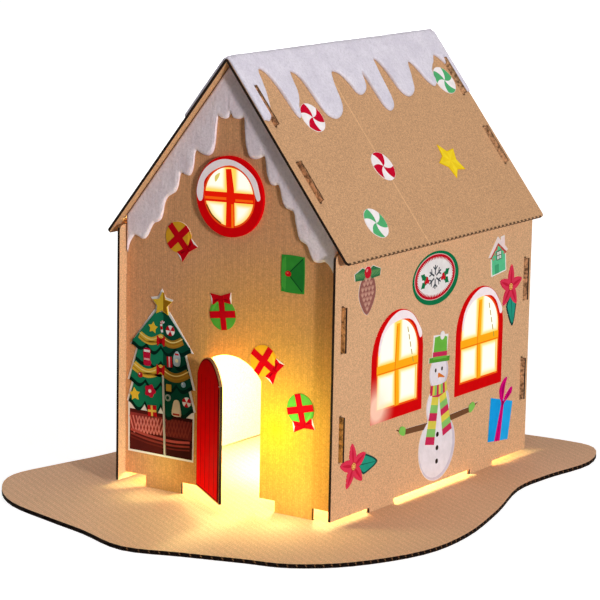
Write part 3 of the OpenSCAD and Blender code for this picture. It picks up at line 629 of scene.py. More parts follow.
def moved(points, at=(0, 0), lean=0, size=1.0):
    """Points scaled, turned by lean degrees and carried to a place."""
    a = math.radians(lean)
    turn = np.array([[math.cos(a), math.sin(a)], [-math.sin(a), math.cos(a)]])
    return np.asarray(points, float) * size @ turn + np.asarray(at)


def slab(at, w, h, lean=0):
    return moved(np.array([[-1, -1], [1, -1], [1, 1], [-1, 1]]) * [w / 2, h / 2], at, lean)


def curve(points, at=(0, 0), lean=0, size=1.0, steps=6):
    return moved(smooth_line(points, steps, True), at, lean, size)


def star(at, r, lean=0, inner=0.5, n=5):
    a = np.pi / 2 + np.arange(2 * n) * np.pi / n
    reach = np.where(np.arange(2 * n) % 2, inner * r, r)
    return moved(np.stack([np.cos(a), np.sin(a)], 1) * reach[:, None], at, lean)


def strip(path, width, taper=1.0):
    """Band along a path: half its width to each side of every point, across the path's local direction."""
    p = np.asarray(path, float)
    along = np.gradient(p, axis=0)
    across = np.stack([-along[:, 1], along[:, 0]], 1) / np.linalg.norm(along, axis=1)[:, None]
    half = across * (np.linspace(1, taper, len(p)) * width / 2)[:, None]
    return np.concatenate([p - half, (p + half)[::-1]])


def mirrored(points):
    return np.asarray(points)[::-1] * [-1, 1]


def petal(r, at=(0, 0), lean=0, belly=0.24, shoulder=0.2):
    """Pointed petal of length r from its root."""
    rim = np.array([[0, 0], [0.3, -belly], [0.68, -shoulder], [1, 0], [0.68, shoulder], [0.3, belly]]) * r
    return curve(rim, at, lean)


def colour_points(piece, inks, glows):
    """Stores each point's ink and glow on the piece."""
    stores = piece.data.attributes
    stores.new("ink", "FLOAT_COLOR", "POINT").data.foreach_set("color", inks.astype(np.float32).ravel())
    stores.new("glow", "FLOAT", "POINT").data.foreach_set("value", glows.astype(np.float32))


def print_piece(name, plane, at, layers, lift=STICKER_T, wrap=True, material=PRINT, lean=0, size=1.0):
    """Thin closed prisms of ink, one per shape. layers is a list of levels, each a list of (outline,
    colour, glow): outlines are scaled by size, turned by lean degrees and carried to the place at, and
    colours are display steps, or linear where they have four parts. A higher level stands LAYER_T further
    out, and each shape of a level a hair above the one before. With wrap, the lowest level reaches down
    round the sticker's edge."""
    origin, across, up, out = plane
    points, faces, colours, glows, start = [], [], [], [], 0
    for level, shapes in enumerate(layers):
        under_at = 0.0 if level == 0 and wrap else lift
        for k, (outline, colour, *glow) in enumerate(shapes):
            p = moved(outline, at, lean, size)
            nxt = np.roll(p, -1, 0)
            if (p[:, 0] * nxt[:, 1] - p[:, 1] * nxt[:, 0]).sum() < 0:
                p = p[::-1]
            n = len(p)
            flat = origin + p[:, :1] * across + p[:, 1:] * up
            over_at = lift + LAYER_T * (level + 1) + HAIR * (k % HAIRS)
            points += [flat + out * under_at, flat + out * over_at]
            under, over = np.arange(n) + start, np.arange(n) + start + n
            faces += [over.tolist(), under[::-1].tolist()]
            faces += np.stack([under, np.roll(under, -1), np.roll(over, -1), over], 1).tolist()
            colours.append(np.tile(colour if len(colour) == 4 else ink(*colour), (2 * n, 1)))
            glows.append(np.full(2 * n, glow[0] if glow else 0.0))
            start += 2 * n
    piece = make_piece(name, np.concatenate(points), faces, material)
    colour_points(piece, np.concatenate(colours), np.concatenate(glows))


WHITE = (244, 240, 240)
LIME = (132, 204, 92)
DARK = (46, 32, 28)
CRIMSON = (204, 8, 26)
MAROON = (156, 2, 18)


def parcel_print(name, at, bow_angle, paper):
    """Round parcel: a disc of paper with a paler side, two crossed ribbons and a bow of two notched
    loops."""
    r, ribbon = 6.72, 3.0
    across = 2 * r - 0.1
    loop = 13.4 * np.array([[0, -0.09], [0.37, -0.19], [0.335, 0], [0.4, 0.18], [0, 0.09]])
    fold = np.array([[0.9, -0.4], [3.4, -1.2], [3.5, -0.3], [0.9, 0.1]])
    to_bow = moved([[0, r]], lean=bow_angle)[0]
    loops, folds = ([moved(p, to_bow, bow_angle) for p in (half, mirrored(half))] for half in (loop, fold))
    shine = curve([[-5.6, 0.6], [-4.6, 3.6], [-1.8, 5.6], [-2.2, 4.6], [-3.8, 3.0]], lean=bow_angle)
    print_piece(name, FRONT, at, [
        [(oval((0, 0), r), paper)] + [(p, CRIMSON) for p in loops],
        [(shine, scaled(ink(*paper), 1.3))],
        [(slab((0, 0), w, h, bow_angle), CRIMSON) for w, h in ((ribbon, across), (across, ribbon))],
        [(p, MAROON) for p in folds] + [(slab(to_bow, 2.6, 2.4, bow_angle), (190, 4, 22))],
        [(slab(to_bow * 0.9 + [0.9, 0], 0.3, 2.6, bow_angle), MAROON)],
    ])


parcel_print("yellow_parcel_high_print", (-27.1, 113.3), 222, (228, 168, 44))
parcel_print("green_parcel_high_print", (-3.6, 83), 8, (88, 172, 60))
parcel_print("yellow_parcel_low_print", (17.7, 66), 238, (240, 178, 40))
parcel_print("green_parcel_low_print", (36.7, 48), 194, (92, 174, 62))


def envelope_print():
    """Envelope with softened corners: a paler back, a darker flap, the flap's fold lines and a wax seal."""
    w, h, soft = 5.72, 7.72, 0.8
    body = smooth_line([[w, -h * soft], [w, h * soft], [w * soft, h], [-w * soft, h], [-w, h * soft],
                        [-w, -h * soft], [-w * soft, -h], [w * soft, -h]], 4, True)
    seal = np.array([-2.3, 0.0])
    top, low = np.array([4.9, 6.9]), np.array([4.9, -6.9])
    flap = [top, seal, low, [5.55, -5.6], [5.6, 0], [5.55, 5.6]]
    back = [[-5.5, -5.4], [-3.6, -7.2], [-3.2, 0], [-3.6, 7.2], [-5.5, 5.4]]
    print_piece("envelope_print", FRONT, (31.7, 104.4), [
        [(body, (54, 148, 56))],
        [(flap, (36, 124, 50)), (back, (72, 166, 64))],
        [(strip([corner, seal], 0.42), (16, 74, 38)) for corner in (top, low)],
        [(oval(seal, 1.5, 1.2), (206, 24, 28))],
        [(oval(seal + [-0.3, 0.3], 0.55, 0.4, n=20), (236, 92, 84))],
    ])


envelope_print()


def sweet_print(name, along, down, start, tint):
    """Swirled mint: a white disc with three blades of tint, each a sixth of the rim wide, whose sides turn
    back as they near the middle: angle = rim angle - twist * (1 - share of the radius)."""
    r, blade, twist = 6.9, np.pi / 3, 0.6
    t = np.linspace(0, 1, 12)

    def spoke(angle, share):
        return np.stack([np.cos(angle), np.sin(angle)], 1) * (share * r)[:, None]

    blades = []
    for k in range(3):
        a = math.radians(start) + 2 * np.pi * k / 3
        turn = a - twist * (1 - t)
        rim = a + np.linspace(0, blade, 10)
        sides = [spoke(turn, t), spoke(rim, np.ones(10))[1:-1], spoke(turn[::-1] + blade, t[::-1])[:-1]]
        blades.append((np.concatenate(sides), tint))
    disc = oval((0, 0), 7.02, n=64)
    print_piece(name, SLOPE, (along, -down), [[(disc, (250, 244, 246))], blades])


sweet_print("red_sweet_high_print", -46.8, 32.0, -25, (204, 12, 48))
sweet_print("red_sweet_low_print", -18.0, 59.9, 54, (204, 12, 48))
sweet_print("green_sweet_low_print", -46.0, 84.3, -25, (86, 180, 118))
sweet_print("green_sweet_high_print", 65.45, 24.7, 8, (86, 180, 118))


def star_print():
    """Fat yellow star, a little deeper along its rim and paler on one side of each point."""
    fat = 0.54
    tips = star((0, 0), 8.2, 0, fat)
    print_piece("star_print", SLOPE, (33, -63.6), [
        [(star((0, 0), 9.23, 0, fat), (240, 200, 30))],
        [(star((0, 0), 8.6, 0, fat), (246, 212, 38))],
        [([(0, 0), tips[k], tips[(k + 1) % 10]], (252, 222, 48)) for k in range(0, 10, 2)],
    ], lean=18)


star_print()


def poinsettia_print(name, at, turn, leaf_angle):
    """Poinsettia: five petals with darker veins, a ring of yellow stamens, and a dark-edged leaf."""
    r, rose = 10.0, (226, 56, 88)
    angles = [72 * i + turn for i in range(5)]
    petals = [(petal(r, lean=a), rose) for a in angles]
    leaf = r * np.array([[0, 0], [0.3, -0.38], [0.62, -0.4], [1.45, 0], [0.62, 0.4], [0.3, 0.38]])
    root = moved([[4.0, 0]], lean=leaf_angle)[0]
    vein = moved(strip([[0.5, 0], [12.6, 0]], 0.5, 0.4), root, leaf_angle)
    print_piece(name, RIGHT, at, [
        [(curve(leaf, root, leaf_angle), (24, 70, 66))] + petals,
        [(curve(leaf * [0.86, 0.80] + [0.7, 0], root, leaf_angle), (40, 158, 134))],
        [(vein, (30, 96, 84))],
        petals + [(oval((0, 0), 3.0), rose)],
        [(petal(r * 0.72, moved([[1.4, 0]], lean=a)[0], a, 0.09, 0.07), (204, 32, 64)) for a in angles],
        [(oval((0, 0), 1.9), (196, 30, 58))],
        [(oval((0, 0), 1.5), (244, 196, 110))],
        [(oval((math.cos(k), math.sin(k)), 0.34, n=12), (206, 96, 60)) for k in range(6)],
    ])


poinsettia_print("poinsettia_high_print", (61.9, 82.2), 15, -82)
poinsettia_print("poinsettia_low_print", (-64, 24.6), 25, -4)


def badge_print():
    """Oval badge: green and red rims, a white field with a pinked edge, a snowflake and two holly
    sprigs."""
    teeth = 144
    pinked = ring(teeth) * ([14.2, 8.1] + 0.65 * np.where(np.arange(teeth) % 2, 1, -1)[:, None])
    turns = [60 * k + 30 for k in range(6)]
    arms = [strip(moved([[0, 0], [5.2, 0]], lean=a), 0.75) for a in turns]
    barbs = [strip(moved([[3.1, 0], [4.6, side * 1.7]], lean=a), 0.6) for a in turns for side in (-1, 1)]
    holly = np.array([[0, 0], [1.3, 1.3], [2.4, 0.9], [3.4, 1.6], [4.4, 0.8], [5.8, 0], [4.4, -0.8],
                      [3.4, -1.6], [2.4, -0.9], [1.3, -1.3]])
    sprigs = [moved(holly, (side * 6.6, -0.6), lean)
              for side, lean in ((-1, 150), (-1, 215), (1, 30), (1, -35))]
    berries = [oval((side * 6.6 + dy, dz), 0.95, n=20)
               for side in (-1, 1) for dy, dz in ((0, 0), (-0.9, -1.3), (0.9, -1.3))]
    middle = (-0.9, 0.6)
    print_piece("badge_print", RIGHT, (-2.4, 95.4), [
        [(oval((0, 0), 18.62, 11.62, n=96), (16, 118, 72))],
        [(oval(middle, 16.6, 10.0), (236, 190, 190))],
        [(oval(middle, 16.2, 9.7), (196, 20, 40))],
        [(pinked + middle, WHITE)],
        [(p + middle, (70, 76, 84)) for p in arms + barbs] + [(p + middle, (20, 118, 70)) for p in sprigs],
        [(p + middle, (206, 26, 40)) for p in berries] + [(oval(middle, 1.0, n=20), WHITE)],
    ])


badge_print()


def pine_cone_print():
    """Pine cone: a mauve brown body with rows of lighter scales, two sprigs of needles and a red berry."""
    cone = 9.9 * np.array([[0, -1], [0.55, -0.4], [0.62, 0.15], [0.35, 0.6], [-0.35, 0.6], [-0.62, 0.15],
                           [-0.55, -0.4]])
    scale = np.array([[-1, 0.35], [-0.5, -0.5], [0, -0.9], [0.5, -0.5], [1, 0.35], [0, 0.7]])
    rows = [(-7.6, 1), (-5.6, 2), (-3.5, 3), (-1.4, 4), (0.8, 4), (3.0, 3), (4.8, 2)]
    places = [((k - (n - 1) / 2) * 2.5, z) for z, n in rows for k in range(n)]
    scales = [(curve(scale * 1.35, (y, z + 0.4), steps=4), (186, 132, 118)) for y, z in places]
    tips = [(curve(scale * 0.8, (y, z + 0.2), steps=4), (206, 158, 140)) for y, z in places]
    sprig = np.array([[-0.05, 0.5], [0.95, 0.55], [1, 0.85], [0.4, 1.05], [-0.05, 0.85]]) * 9.8
    pine = (52, 116, 74)
    needles = []
    for side in (1, -1):
        for q in np.linspace(0, 1, 9):
            root = np.array([side * 8.2 * q, 7.2 + 0.4 * q])
            for reach in ([side * 1.4, 1.5 - 0.5 * q], [side * 1.2, -1.4]):
                needles.append((strip([root, root + reach], 0.42, 0.3), (116, 172, 104)))
    print_piece("pine_cone_print", RIGHT, (-56.4, 97.5), [
        [(curve(cone), (150, 96, 88)), (sprig, pine), (mirrored(sprig), pine)],
        scales + needles, tips,
        [(oval((0, 8.0), 2.5), (206, 26, 48))],
        [(oval((-0.8, 8.9), 0.8, 0.6, 30, 20), (246, 150, 150))],
    ], wrap=False)


pine_cone_print()


def cottage_print():
    """Little house: mint walls, a snowy roof with a red line, a chimney and a four-paned window."""
    wall = [[-0.34, 0.03], [0.34, 0.03], [0.34, 0.56], [0, 0.86], [-0.34, 0.56]]
    red_line = [[-0.42, 0.5], [0, 0.83], [0.42, 0.5], [0.36, 0.47], [0, 0.76], [-0.36, 0.47]]
    snow = [[-0.46, 0.55], [-0.4, 0.52], [-0.3, 0.6], [-0.2, 0.68], [0, 0.84], [0.2, 0.68], [0.3, 0.6],
            [0.4, 0.52], [0.46, 0.55], [0.33, 0.68], [0.33, 0.92], [0.18, 0.94], [0.18, 0.84], [0, 0.97]]
    bricks = [slab((0.02 + 0.09 * i, 0.80 - 0.11 * abs(i - 0.2)), 0.07, 0.035, -35 if i > 0 else 35)
              for i in (-3, -2, -1, 1, 2, 3)]
    panes = [slab((0.02 + dy, 0.5 + dz), 0.09, 0.09) for dy in (-0.055, 0.055) for dz in (-0.055, 0.055)]
    print_piece("cottage_print", RIGHT, (51, 89.6), [
        [(wall, (96, 204, 150))], [(red_line, (196, 70, 66))], [(snow, (248, 226, 226))],
        [(p, (214, 110, 104)) for p in bricks]
        + [(slab((0.02, 0.5), 0.24, 0.24), DARK), (slab((-0.1, 0.15), 0.2, 0.24), (70, 168, 120))],
        [(p, (226, 236, 226)) for p in panes],
    ], wrap=False, lean=6, size=17)


cottage_print()


def gift_box_print():
    """Wrapped box: blue paper in two tones, a magenta ribbon that narrows upwards and a bow of two slim
    loops."""
    half, tall, bow, lean = 9.52, 18.8, 7.6, -9
    magenta, plum = (216, 6, 124), (166, 2, 96)
    box = [[-half * 0.93, 0], [half * 0.9, tall * 0.05], [half * 0.97, tall * 0.98],
           [-half * 1.1, tall * 1.07]]
    side = [[1.6, 0.6], [half * 0.88, tall * 0.06], [half * 0.95, tall * 0.97], [1.2, tall]]
    ribbon = [[-3.4, 0.15], [1.5, 0.5], [1.4, tall - 0.6], [-0.6, tall - 0.4]]
    loops = [[[-0.03, -0.24], [0.063, 0.29], [0.095, 0.88], [0.2, 1.4], [-0.05, 1.29], [-0.29, 0.92],
              [-0.36, 0.49]],
             [[0.08, -0.2], [0.5, 0.16], [0.78, 0.5], [0.77, 0.82], [0.52, 0.71], [0.23, 0.29]]]
    loops = [smooth_line(np.array(p) * [half, bow] + [0, tall], 6, True) for p in loops]
    folds = [(p - p.mean(0)) * [0.35, 0.55] + p.mean(0) for p in loops]
    crease = strip([[-1.2, 0.4], [0.3, tall - 1.4]], 0.5, 0.5)
    knot = oval((0.3, tall - 1.2), 1.3, 1.1, -lean, 24)
    bows = [(p, magenta) for p in loops]
    print_piece("gift_box_print", RIGHT, (55, 12), [
        [(box, (24, 164, 242))] + bows,
        [(side, (36, 176, 250))],
        [(ribbon, magenta)] + bows,
        [(p, plum) for p in folds + [crease, knot]],
    ], lean=lean)


gift_box_print()


def snowman_print():
    """Snowman: three snow balls with shaded sides, a tall green hat with a band and a bobble, a striped
    scarf with two hanging ends, coal eyes and buttons, a carrot and twig arms with mittens."""
    r = 15.0
    chest_z, head_z, head_r = r * 2.2, r * 3.2, r * 0.51
    neck_z = head_z - head_r * 0.92
    snow, shade, twig = (240, 234, 242), (214, 206, 222), (116, 78, 52)
    scarf_tones = [(206, 46, 90), (228, 214, 84), (140, 202, 110)]
    arm_z = 39.6 - 5.1 - r * 0.6
    arm = r * np.array([[0, -0.1], [1.87, 0], [2.27, 0.23], [1.87, 0.16], [0, 0.1]]) + [0, arm_z]
    mitten = curve([[0, -1.5], [2.6, -1.6], [5.0, -0.2], [4.2, 1.8], [2.2, 2.2], [0, 1.4]],
                   (26.5, arm_z + 1.2), 12)
    carrot = [[-0.4, -1.0], [0.8, -0.9], [5.2, -1.6], [0.8, 0.9], [-0.4, 0.9]]

    def scarf_tail(top, foot, n=7):
        """Striped end of the scarf, a little wider at each stripe."""
        ends = np.linspace(top, foot, n + 1)
        wide = 5.2 + 0.35 * np.arange(n + 1)
        return [(strip(ends[k:k + 2], wide[k], wide[k + 1] / wide[k]), scarf_tones[k % 3]) for k in range(n)]

    def neck_at(k):
        """Place along the scarf's front, which hangs as a shallow parabola."""
        return -6.6 + 1.65 * k, neck_z - 0.5 + 0.03 * (k - 4) ** 2

    def on_head(shape):
        return moved(shape, (0, head_z + head_r * 0.6), -5, r)

    neck = [(strip([neck_at(k), neck_at(k + 1)], 4.4), scarf_tones[k % 3]) for k in range(8)]
    brim = on_head(slab((0, 0.08), 1.12, 0.15))
    crown = on_head([[-0.37, 0.1], [0.39, 0.1], [0.33, 0.72], [0.1, 0.79], [-0.34, 0.74]])
    band = on_head(slab((0, 0.24), 0.77, 0.14))
    bobble = oval(on_head([[0.06, 0.78]])[0], 1.9, n=24)
    print_piece("snowman_print", RIGHT, (2.25, 5.1), [
        [(arm, twig), (mirrored(arm), twig)],
        [(oval((0, r), r * 0.985), shade), (oval((0, chest_z), r * 0.62), shade),
         (oval((0, head_z), head_r * 0.98), shade), (mitten, LIME), (mirrored(mitten), LIME)],
        [(oval((-0.9, r + 0.5), r * 0.91, r * 0.93), snow),
         (oval((-0.6, chest_z + 0.3), r * 0.56, r * 0.57), snow),
         (oval((-0.5, head_z + 0.2), head_r * 0.88, head_r * 0.9), snow)],
        [(oval((0, z), 1.15, n=20), DARK) for z in (8.5, 14.5, 20.5)]
        + [(brim, (84, 156, 50)), (crown, (112, 190, 70))]
        + [(oval((x, head_z + 1.4), 0.75, 0.9, n=16), DARK) for x in (-2.9, 2.3)],
        [(band, scarf_tones[0]), (curve(carrot, (-0.4, head_z - 1.2), steps=4), (226, 122, 40))]
        + scarf_tail((-1.8, neck_z), (-6.4, neck_z - 24)) + scarf_tail((2.4, neck_z), (8.2, neck_z - 21)),
        neck + [(bobble, WHITE)],
    ], wrap=False)


snowman_print()


def tree_print():
    """Decorated tree on a white border: three tiers with scalloped feet and shaded right halves, garlands
    with bows, baubles, a two-tone star and a woven tub. A scalloped foot is a straight edge dropped by the
    size of a sine of the place along it, and less so towards its ends."""
    fold = 1.2
    light, deep, foot_tone = (26, 126, 92), (12, 72, 54), (6, 38, 30)
    gold, straw, bronze, ochre = (226, 184, 66), (246, 222, 136), (168, 122, 40), (186, 140, 44)
    yellow, cherry, mint_red = (240, 200, 60), (204, 20, 32), (196, 14, 34)

    def tier(low_half, low, high_half, high, scallops, drop):
        x = np.linspace(-low_half, low_half, 81)
        sag = np.abs(np.sin(np.pi * scallops * (x / low_half + 1) / 2)) * (1 - np.abs(x / low_half) ** 3)
        edge = np.stack([x, low - drop * sag], 1)
        return np.concatenate([edge, [[high_half, high], [-high_half, high]]])

    def right_half(outline):
        p = np.asarray(outline, float).copy()
        p[:, 0] = np.maximum(p[:, 0], fold)
        return p

    def leaves(low_half, low, high_half, high, scallops, drop):
        """Levels of one tier: its dark foot, its green face and the shaded right half."""
        foot = tier(low_half, low - 0.9, low_half * 0.96, low + 1.6, scallops, drop)
        face = tier(low_half * 0.97, low + 0.7, high_half, high, scallops, drop)
        return [[(foot, foot_tone)], [(face, light)], [(right_half(face), deep)]]

    def garland(half, z, sag, thick):
        """Swag of two loops: a band whose middle line hangs by a sine of the place along it."""
        x = np.linspace(-1, 1, 41)
        return strip(np.stack([x * half, z + 0.2 * sag - sag * np.abs(np.sin(np.pi * x))], 1), thick)

    def bauble(at, r, tone):
        return [(oval(at, r, n=28), tone), (oval(np.array(at) + [-0.35 * r, 0.35 * r], r * 0.3, n=14), WHITE)]

    def mint(at, r):
        wedges = [np.concatenate([[(0, 0)], ring(36)[k * 12:k * 12 + 7] * r]) + at for k in range(3)]
        return [(oval(at, r, n=36), WHITE)] + [(p, mint_red) for p in wedges]

    def cane(at, size):
        line = moved(smooth_line([[0, -3.2], [0, 1.0], [0.5, 2.3], [1.6, 2.5], [2.3, 1.5]], 5), at, 10, size)
        return [(strip(line[2 * k:2 * k + 3], 1.3 * size), mint_red if k % 2 else WHITE)
                for k in range(len(line) // 2 - 1)]

    tiers = [(17.5, 22.8, 13.4, 34.6, 4, 5.4), (17.0, 32.4, 11.4, 49.4, 4, 3.6),
             (14.0, 41.6, 12.0, 47.6, 4, 2.8), (15.9, 48.4, 2.8, 63.4, 4, 3.2)]
    swags = [(11.4, 51.9, 2.2, 3.4), (14.6, 38.0, 2.8, 4.0)]
    threads = [(garland(half, z + dz, sag, 0.5), tone)
               for dz, tone in ((0.8, straw), (-0.7, ochre)) for half, z, sag, _ in swags]
    loop = np.array([[0, -0.6], [1.9, -2.6], [2.4, -0.6], [2.2, 2.4], [0, 0.6]])
    bow_at = [(0, 51.0), (0, 38.2)]
    bows = [(moved(p, at, size=0.95), cherry) for at in bow_at for p in (loop, mirrored(loop))]
    knots = [(slab(at, 1.5, 1.9), (150, 6, 18)) for at in bow_at]
    tub = [[-16.7, 0.9], [16.9, 0.9], [17.0, 19.0], [-16.8, 19.0]]
    tub_band = slab((0, 13.4), 33.0, 8.0)
    weave = [(strip([(x, 9.4 + 0.06 * x), (x + lean * 2.6, 16.8 + 0.06 * x)], 0.6),
              (226, 128, 118) if x < fold else (132, 52, 44))
             for lean in (-1, 1) for x in np.linspace(-14.2, 14.2, 17)]
    hoop = smooth_line([[-16.0, 1.6], [-6.0, 0], [6.0, -0.6], [15.6, 0.2]], 5)
    hoops = [(strip(hoop + [0, z], wide), tone) for z, wide, tone in (
        (8.2, 1.1, (186, 78, 72)), (6.4, 0.8, (150, 58, 50)), (4.8, 0.6, (116, 40, 34)))]
    sock = curve([[-1.7, 3.4], [1.7, 3.4], [1.5, -0.8], [2.3, -2.2], [1.4, -3.8], [-1.4, -3.6], [-1.7, -1.2]],
                 (-7.4, 43.0), steps=4)
    bell = curve([[-2.2, -3.6], [2.2, -3.6], [1.9, 0.6], [1.0, 3.0], [-1.0, 3.0], [-1.9, 0.6]],
                 (8.6, 23.0), steps=4)
    lantern = curve([[-1.5, -3.0], [1.5, -3.0], [1.7, 1.0], [0, 3.2], [-1.7, 1.0]], (8.6, 44.4), steps=4)
    flower = [(petal(3.0, (-5.6, 28.2), a, 0.40, 0.38), (206, 26, 60)) for a in range(0, 360, 72)]
    trinkets = [
        (star((-4.3, 56.2), 2.6, -6, 0.55), yellow), (star((-13.9, 25.6), 2.9, 8, 0.55), yellow),
        (sock, (198, 24, 62)), (bell, (226, 206, 176)), (lantern, (176, 196, 206)),
        (slab((4.7, 42.4), 2.6, 4.6, 4), (190, 24, 36)), (slab((-4.4, 19.6), 4.4, 4.8, 4), (206, 22, 30)),
        (slab((4.4, 31.0), 2.6, 3.0), (206, 160, 60)), (oval((4.0, 26.6), 1.5, n=24), (150, 160, 150)),
    ] + flower + mint((5.0, 56.0), 2.3) + mint((14.0, 26.0), 2.2) + cane((0.2, 57.2), 0.78)
    details = [
        (slab((-7.4, 45.6), 3.3, 1.0), WHITE), (slab((-7.4, 42.0), 3.0, 0.8), (240, 170, 180)),
        (slab((8.6, 19.9), 3.6, 0.8), (176, 60, 50)), (oval((-5.6, 28.2), 0.8, n=14), WHITE),
        (slab((8.6, 46.2), 2.0, 0.8), (190, 40, 50)), (oval((8.6, 43.4), 0.8, n=14), (250, 240, 200)),
        (slab((-4.4, 19.6), 1.0, 4.8, 4), (240, 200, 90)), (slab((-4.4, 19.6), 4.4, 1.0, 4), (240, 200, 90)),
        (oval((4.0, 26.6), 0.8, n=18), deep), (slab((4.7, 42.4), 0.7, 4.6, 4), (240, 190, 190)),
    ] + bauble((-10.8, 34.6), 1.2, (190, 30, 44)) + bauble((12.2, 33.4), 1.2, (150, 186, 206))
    top = (0.5, 66.9)
    print_piece("tree_print", FRONT, (-35.575, 16.5), [
        [(tub, (86, 30, 28))],
        [(right_half(tub), (58, 20, 18)), (tub_band, (150, 56, 54))],
        [(right_half(tub_band), (104, 36, 34))],
        weave, hoops,
        *(level for size in tiers for level in leaves(*size)),
        [(garland(*s), gold) for s in swags],
        [(right_half(garland(*s)), bronze) for s in swags],
        threads, bows, trinkets, knots + details,
        [(strip([(1.3, 36.0), (2.6, 0.9)], 0.85), (206, 198, 190))],
        [(star(top, 5.3), (230, 192, 58))],
        [(right_half(star(top, 5.2)), (158, 112, 22))],
    ], wrap=False)


tree_print()


def door_print():
    """Red door face on a dark rim: a grid under the door's arc, deeper red towards its head and brighter and
    glowing towards its foot: painted light of the lamp at the doorway, on card with no lamp behind it. It has
    faint board lines and a burnt line down its free side."""
    w, foot, head, rise, inset = 31.4, 7.6, 65.2, 9.0, 0.5
    rows, columns = 41, 31
    r = (w * w / 4 + rise * rise) / (2 * rise)
    dark_red = (120, 2, 6)

    def crown(x, inset):
        """Height of the arc through the two shoulders and the crown."""
        return head - r + np.sqrt(np.clip(r * r - x * x, 0, None)) - inset

    def arch(inset):
        half = w / 2 - inset
        x = half * np.linspace(1, -1, 33)
        low = foot + inset
        return np.concatenate([[[-half, low], [half, low]], np.stack([x, crown(x, inset)], 1)])

    share = np.linspace(0, 1, rows)[:, None]
    x = np.broadcast_to((w / 2 - inset) * np.linspace(-1, 1, columns), (rows, columns))
    z = foot + inset + share * (crown(x, inset) - foot - inset)
    # Painted light: the face is brighter red and glows more towards its foot.
    tint = np.array(ink(252, 2, 3)) * (1 - share[..., None]) + np.array(ink(210, 1, 2)) * share[..., None]
    tint = np.broadcast_to(tint, (rows, columns, 4)).reshape(-1, 4)
    glow = np.broadcast_to(0.42 - 0.36 * share, x.shape).ravel()
    origin, across, up, out = DOOR
    flat = origin + (x + DOOR_HALF)[..., None] * across + z[..., None] * up
    under_at = STICKER_T + LAYER_T
    over_at = under_at + LAYER_T
    face = sheet_piece("door_face", flat + out * over_at, flat + out * under_at, PRINT, False)
    colour_points(face, np.concatenate([tint, tint]), np.concatenate([glow, glow]))
    boards = [(strip([(at, foot + 1.4), (at, head - 8.2)], 0.3), (140, 2, 6))
              for at in (-9.6, -3.2, 3.2, 9.6)]
    side = w / 2 - 0.7
    burn = (strip([(side, foot + 0.6), (side, head - rise - 0.4)], 0.9), (60, 6, 6))
    layers = [[(arch(-0.03), dark_red)], [], boards + [burn]]
    print_piece("door_print", DOOR, (DOOR_HALF, 0), layers)


door_print()

PANE_GRID = 61
PANE_T = 0.012
PANE_GLOW = 0.97


def lit_panes(name, plane, at, half, foot, spring, bar, lift):
    """Lit panes behind the bars: a sheet with straight sides under a round head (a full round where spring
    is its middle and foot its lowest point). Its tint goes from amber by the frame and bars to warm white,
    by a smooth step of the distance from the nearest of them, and stays white under the snow cap."""
    rows = np.linspace(0.004, 0.996, PANE_GRID)[:, None]
    z = foot + rows * (spring + half - foot)
    full_round = abs(spring - half - foot) < 0.5
    over = np.abs(z - spring) if full_round else np.clip(z - spring, 0, None)
    reach = np.sqrt(np.clip(half * half - over * over, 0, None))
    x = np.linspace(-1, 1, PANE_GRID)[None] * reach
    zs = np.broadcast_to(z, x.shape)
    rim = half - np.hypot(x, over)
    rim = rim if full_round else np.minimum(rim, zs - foot)
    rim = rim + 4.0 * np.clip((zs - spring) / half, 0, 1)
    bar_x, bar_z, bar_w = bar
    bars = np.minimum(np.abs(x - bar_x), np.abs(zs - bar_z)) - bar_w / 2
    near = np.clip(np.minimum(rim, bars * 1.6) / 4.0, 0, 1)
    share = (near * near * (3 - 2 * near))[..., None]
    tint = np.array(ink(255, 214, 96)) * (1 - share) + np.array(ink(255, 252, 236)) * share
    origin, across, up, out = plane
    flat = origin + (x + at[0])[..., None] * across + (zs + at[1])[..., None] * up
    piece = sheet_piece(name, flat + out * (lift + PANE_T), flat + out * lift, LIT_PRINT, False)
    inks = tint.reshape(-1, 4)
    colour_points(piece, np.concatenate([inks, inks]), np.full(2 * len(inks), PANE_GLOW))


def frame_rim(outer, hole):
    """Flat ring cut open by a slit, so that it is one outline."""
    return np.concatenate([outer, outer[:1], hole[:1], hole[::-1]])


CAP_SNOW = (252, 238, 242)


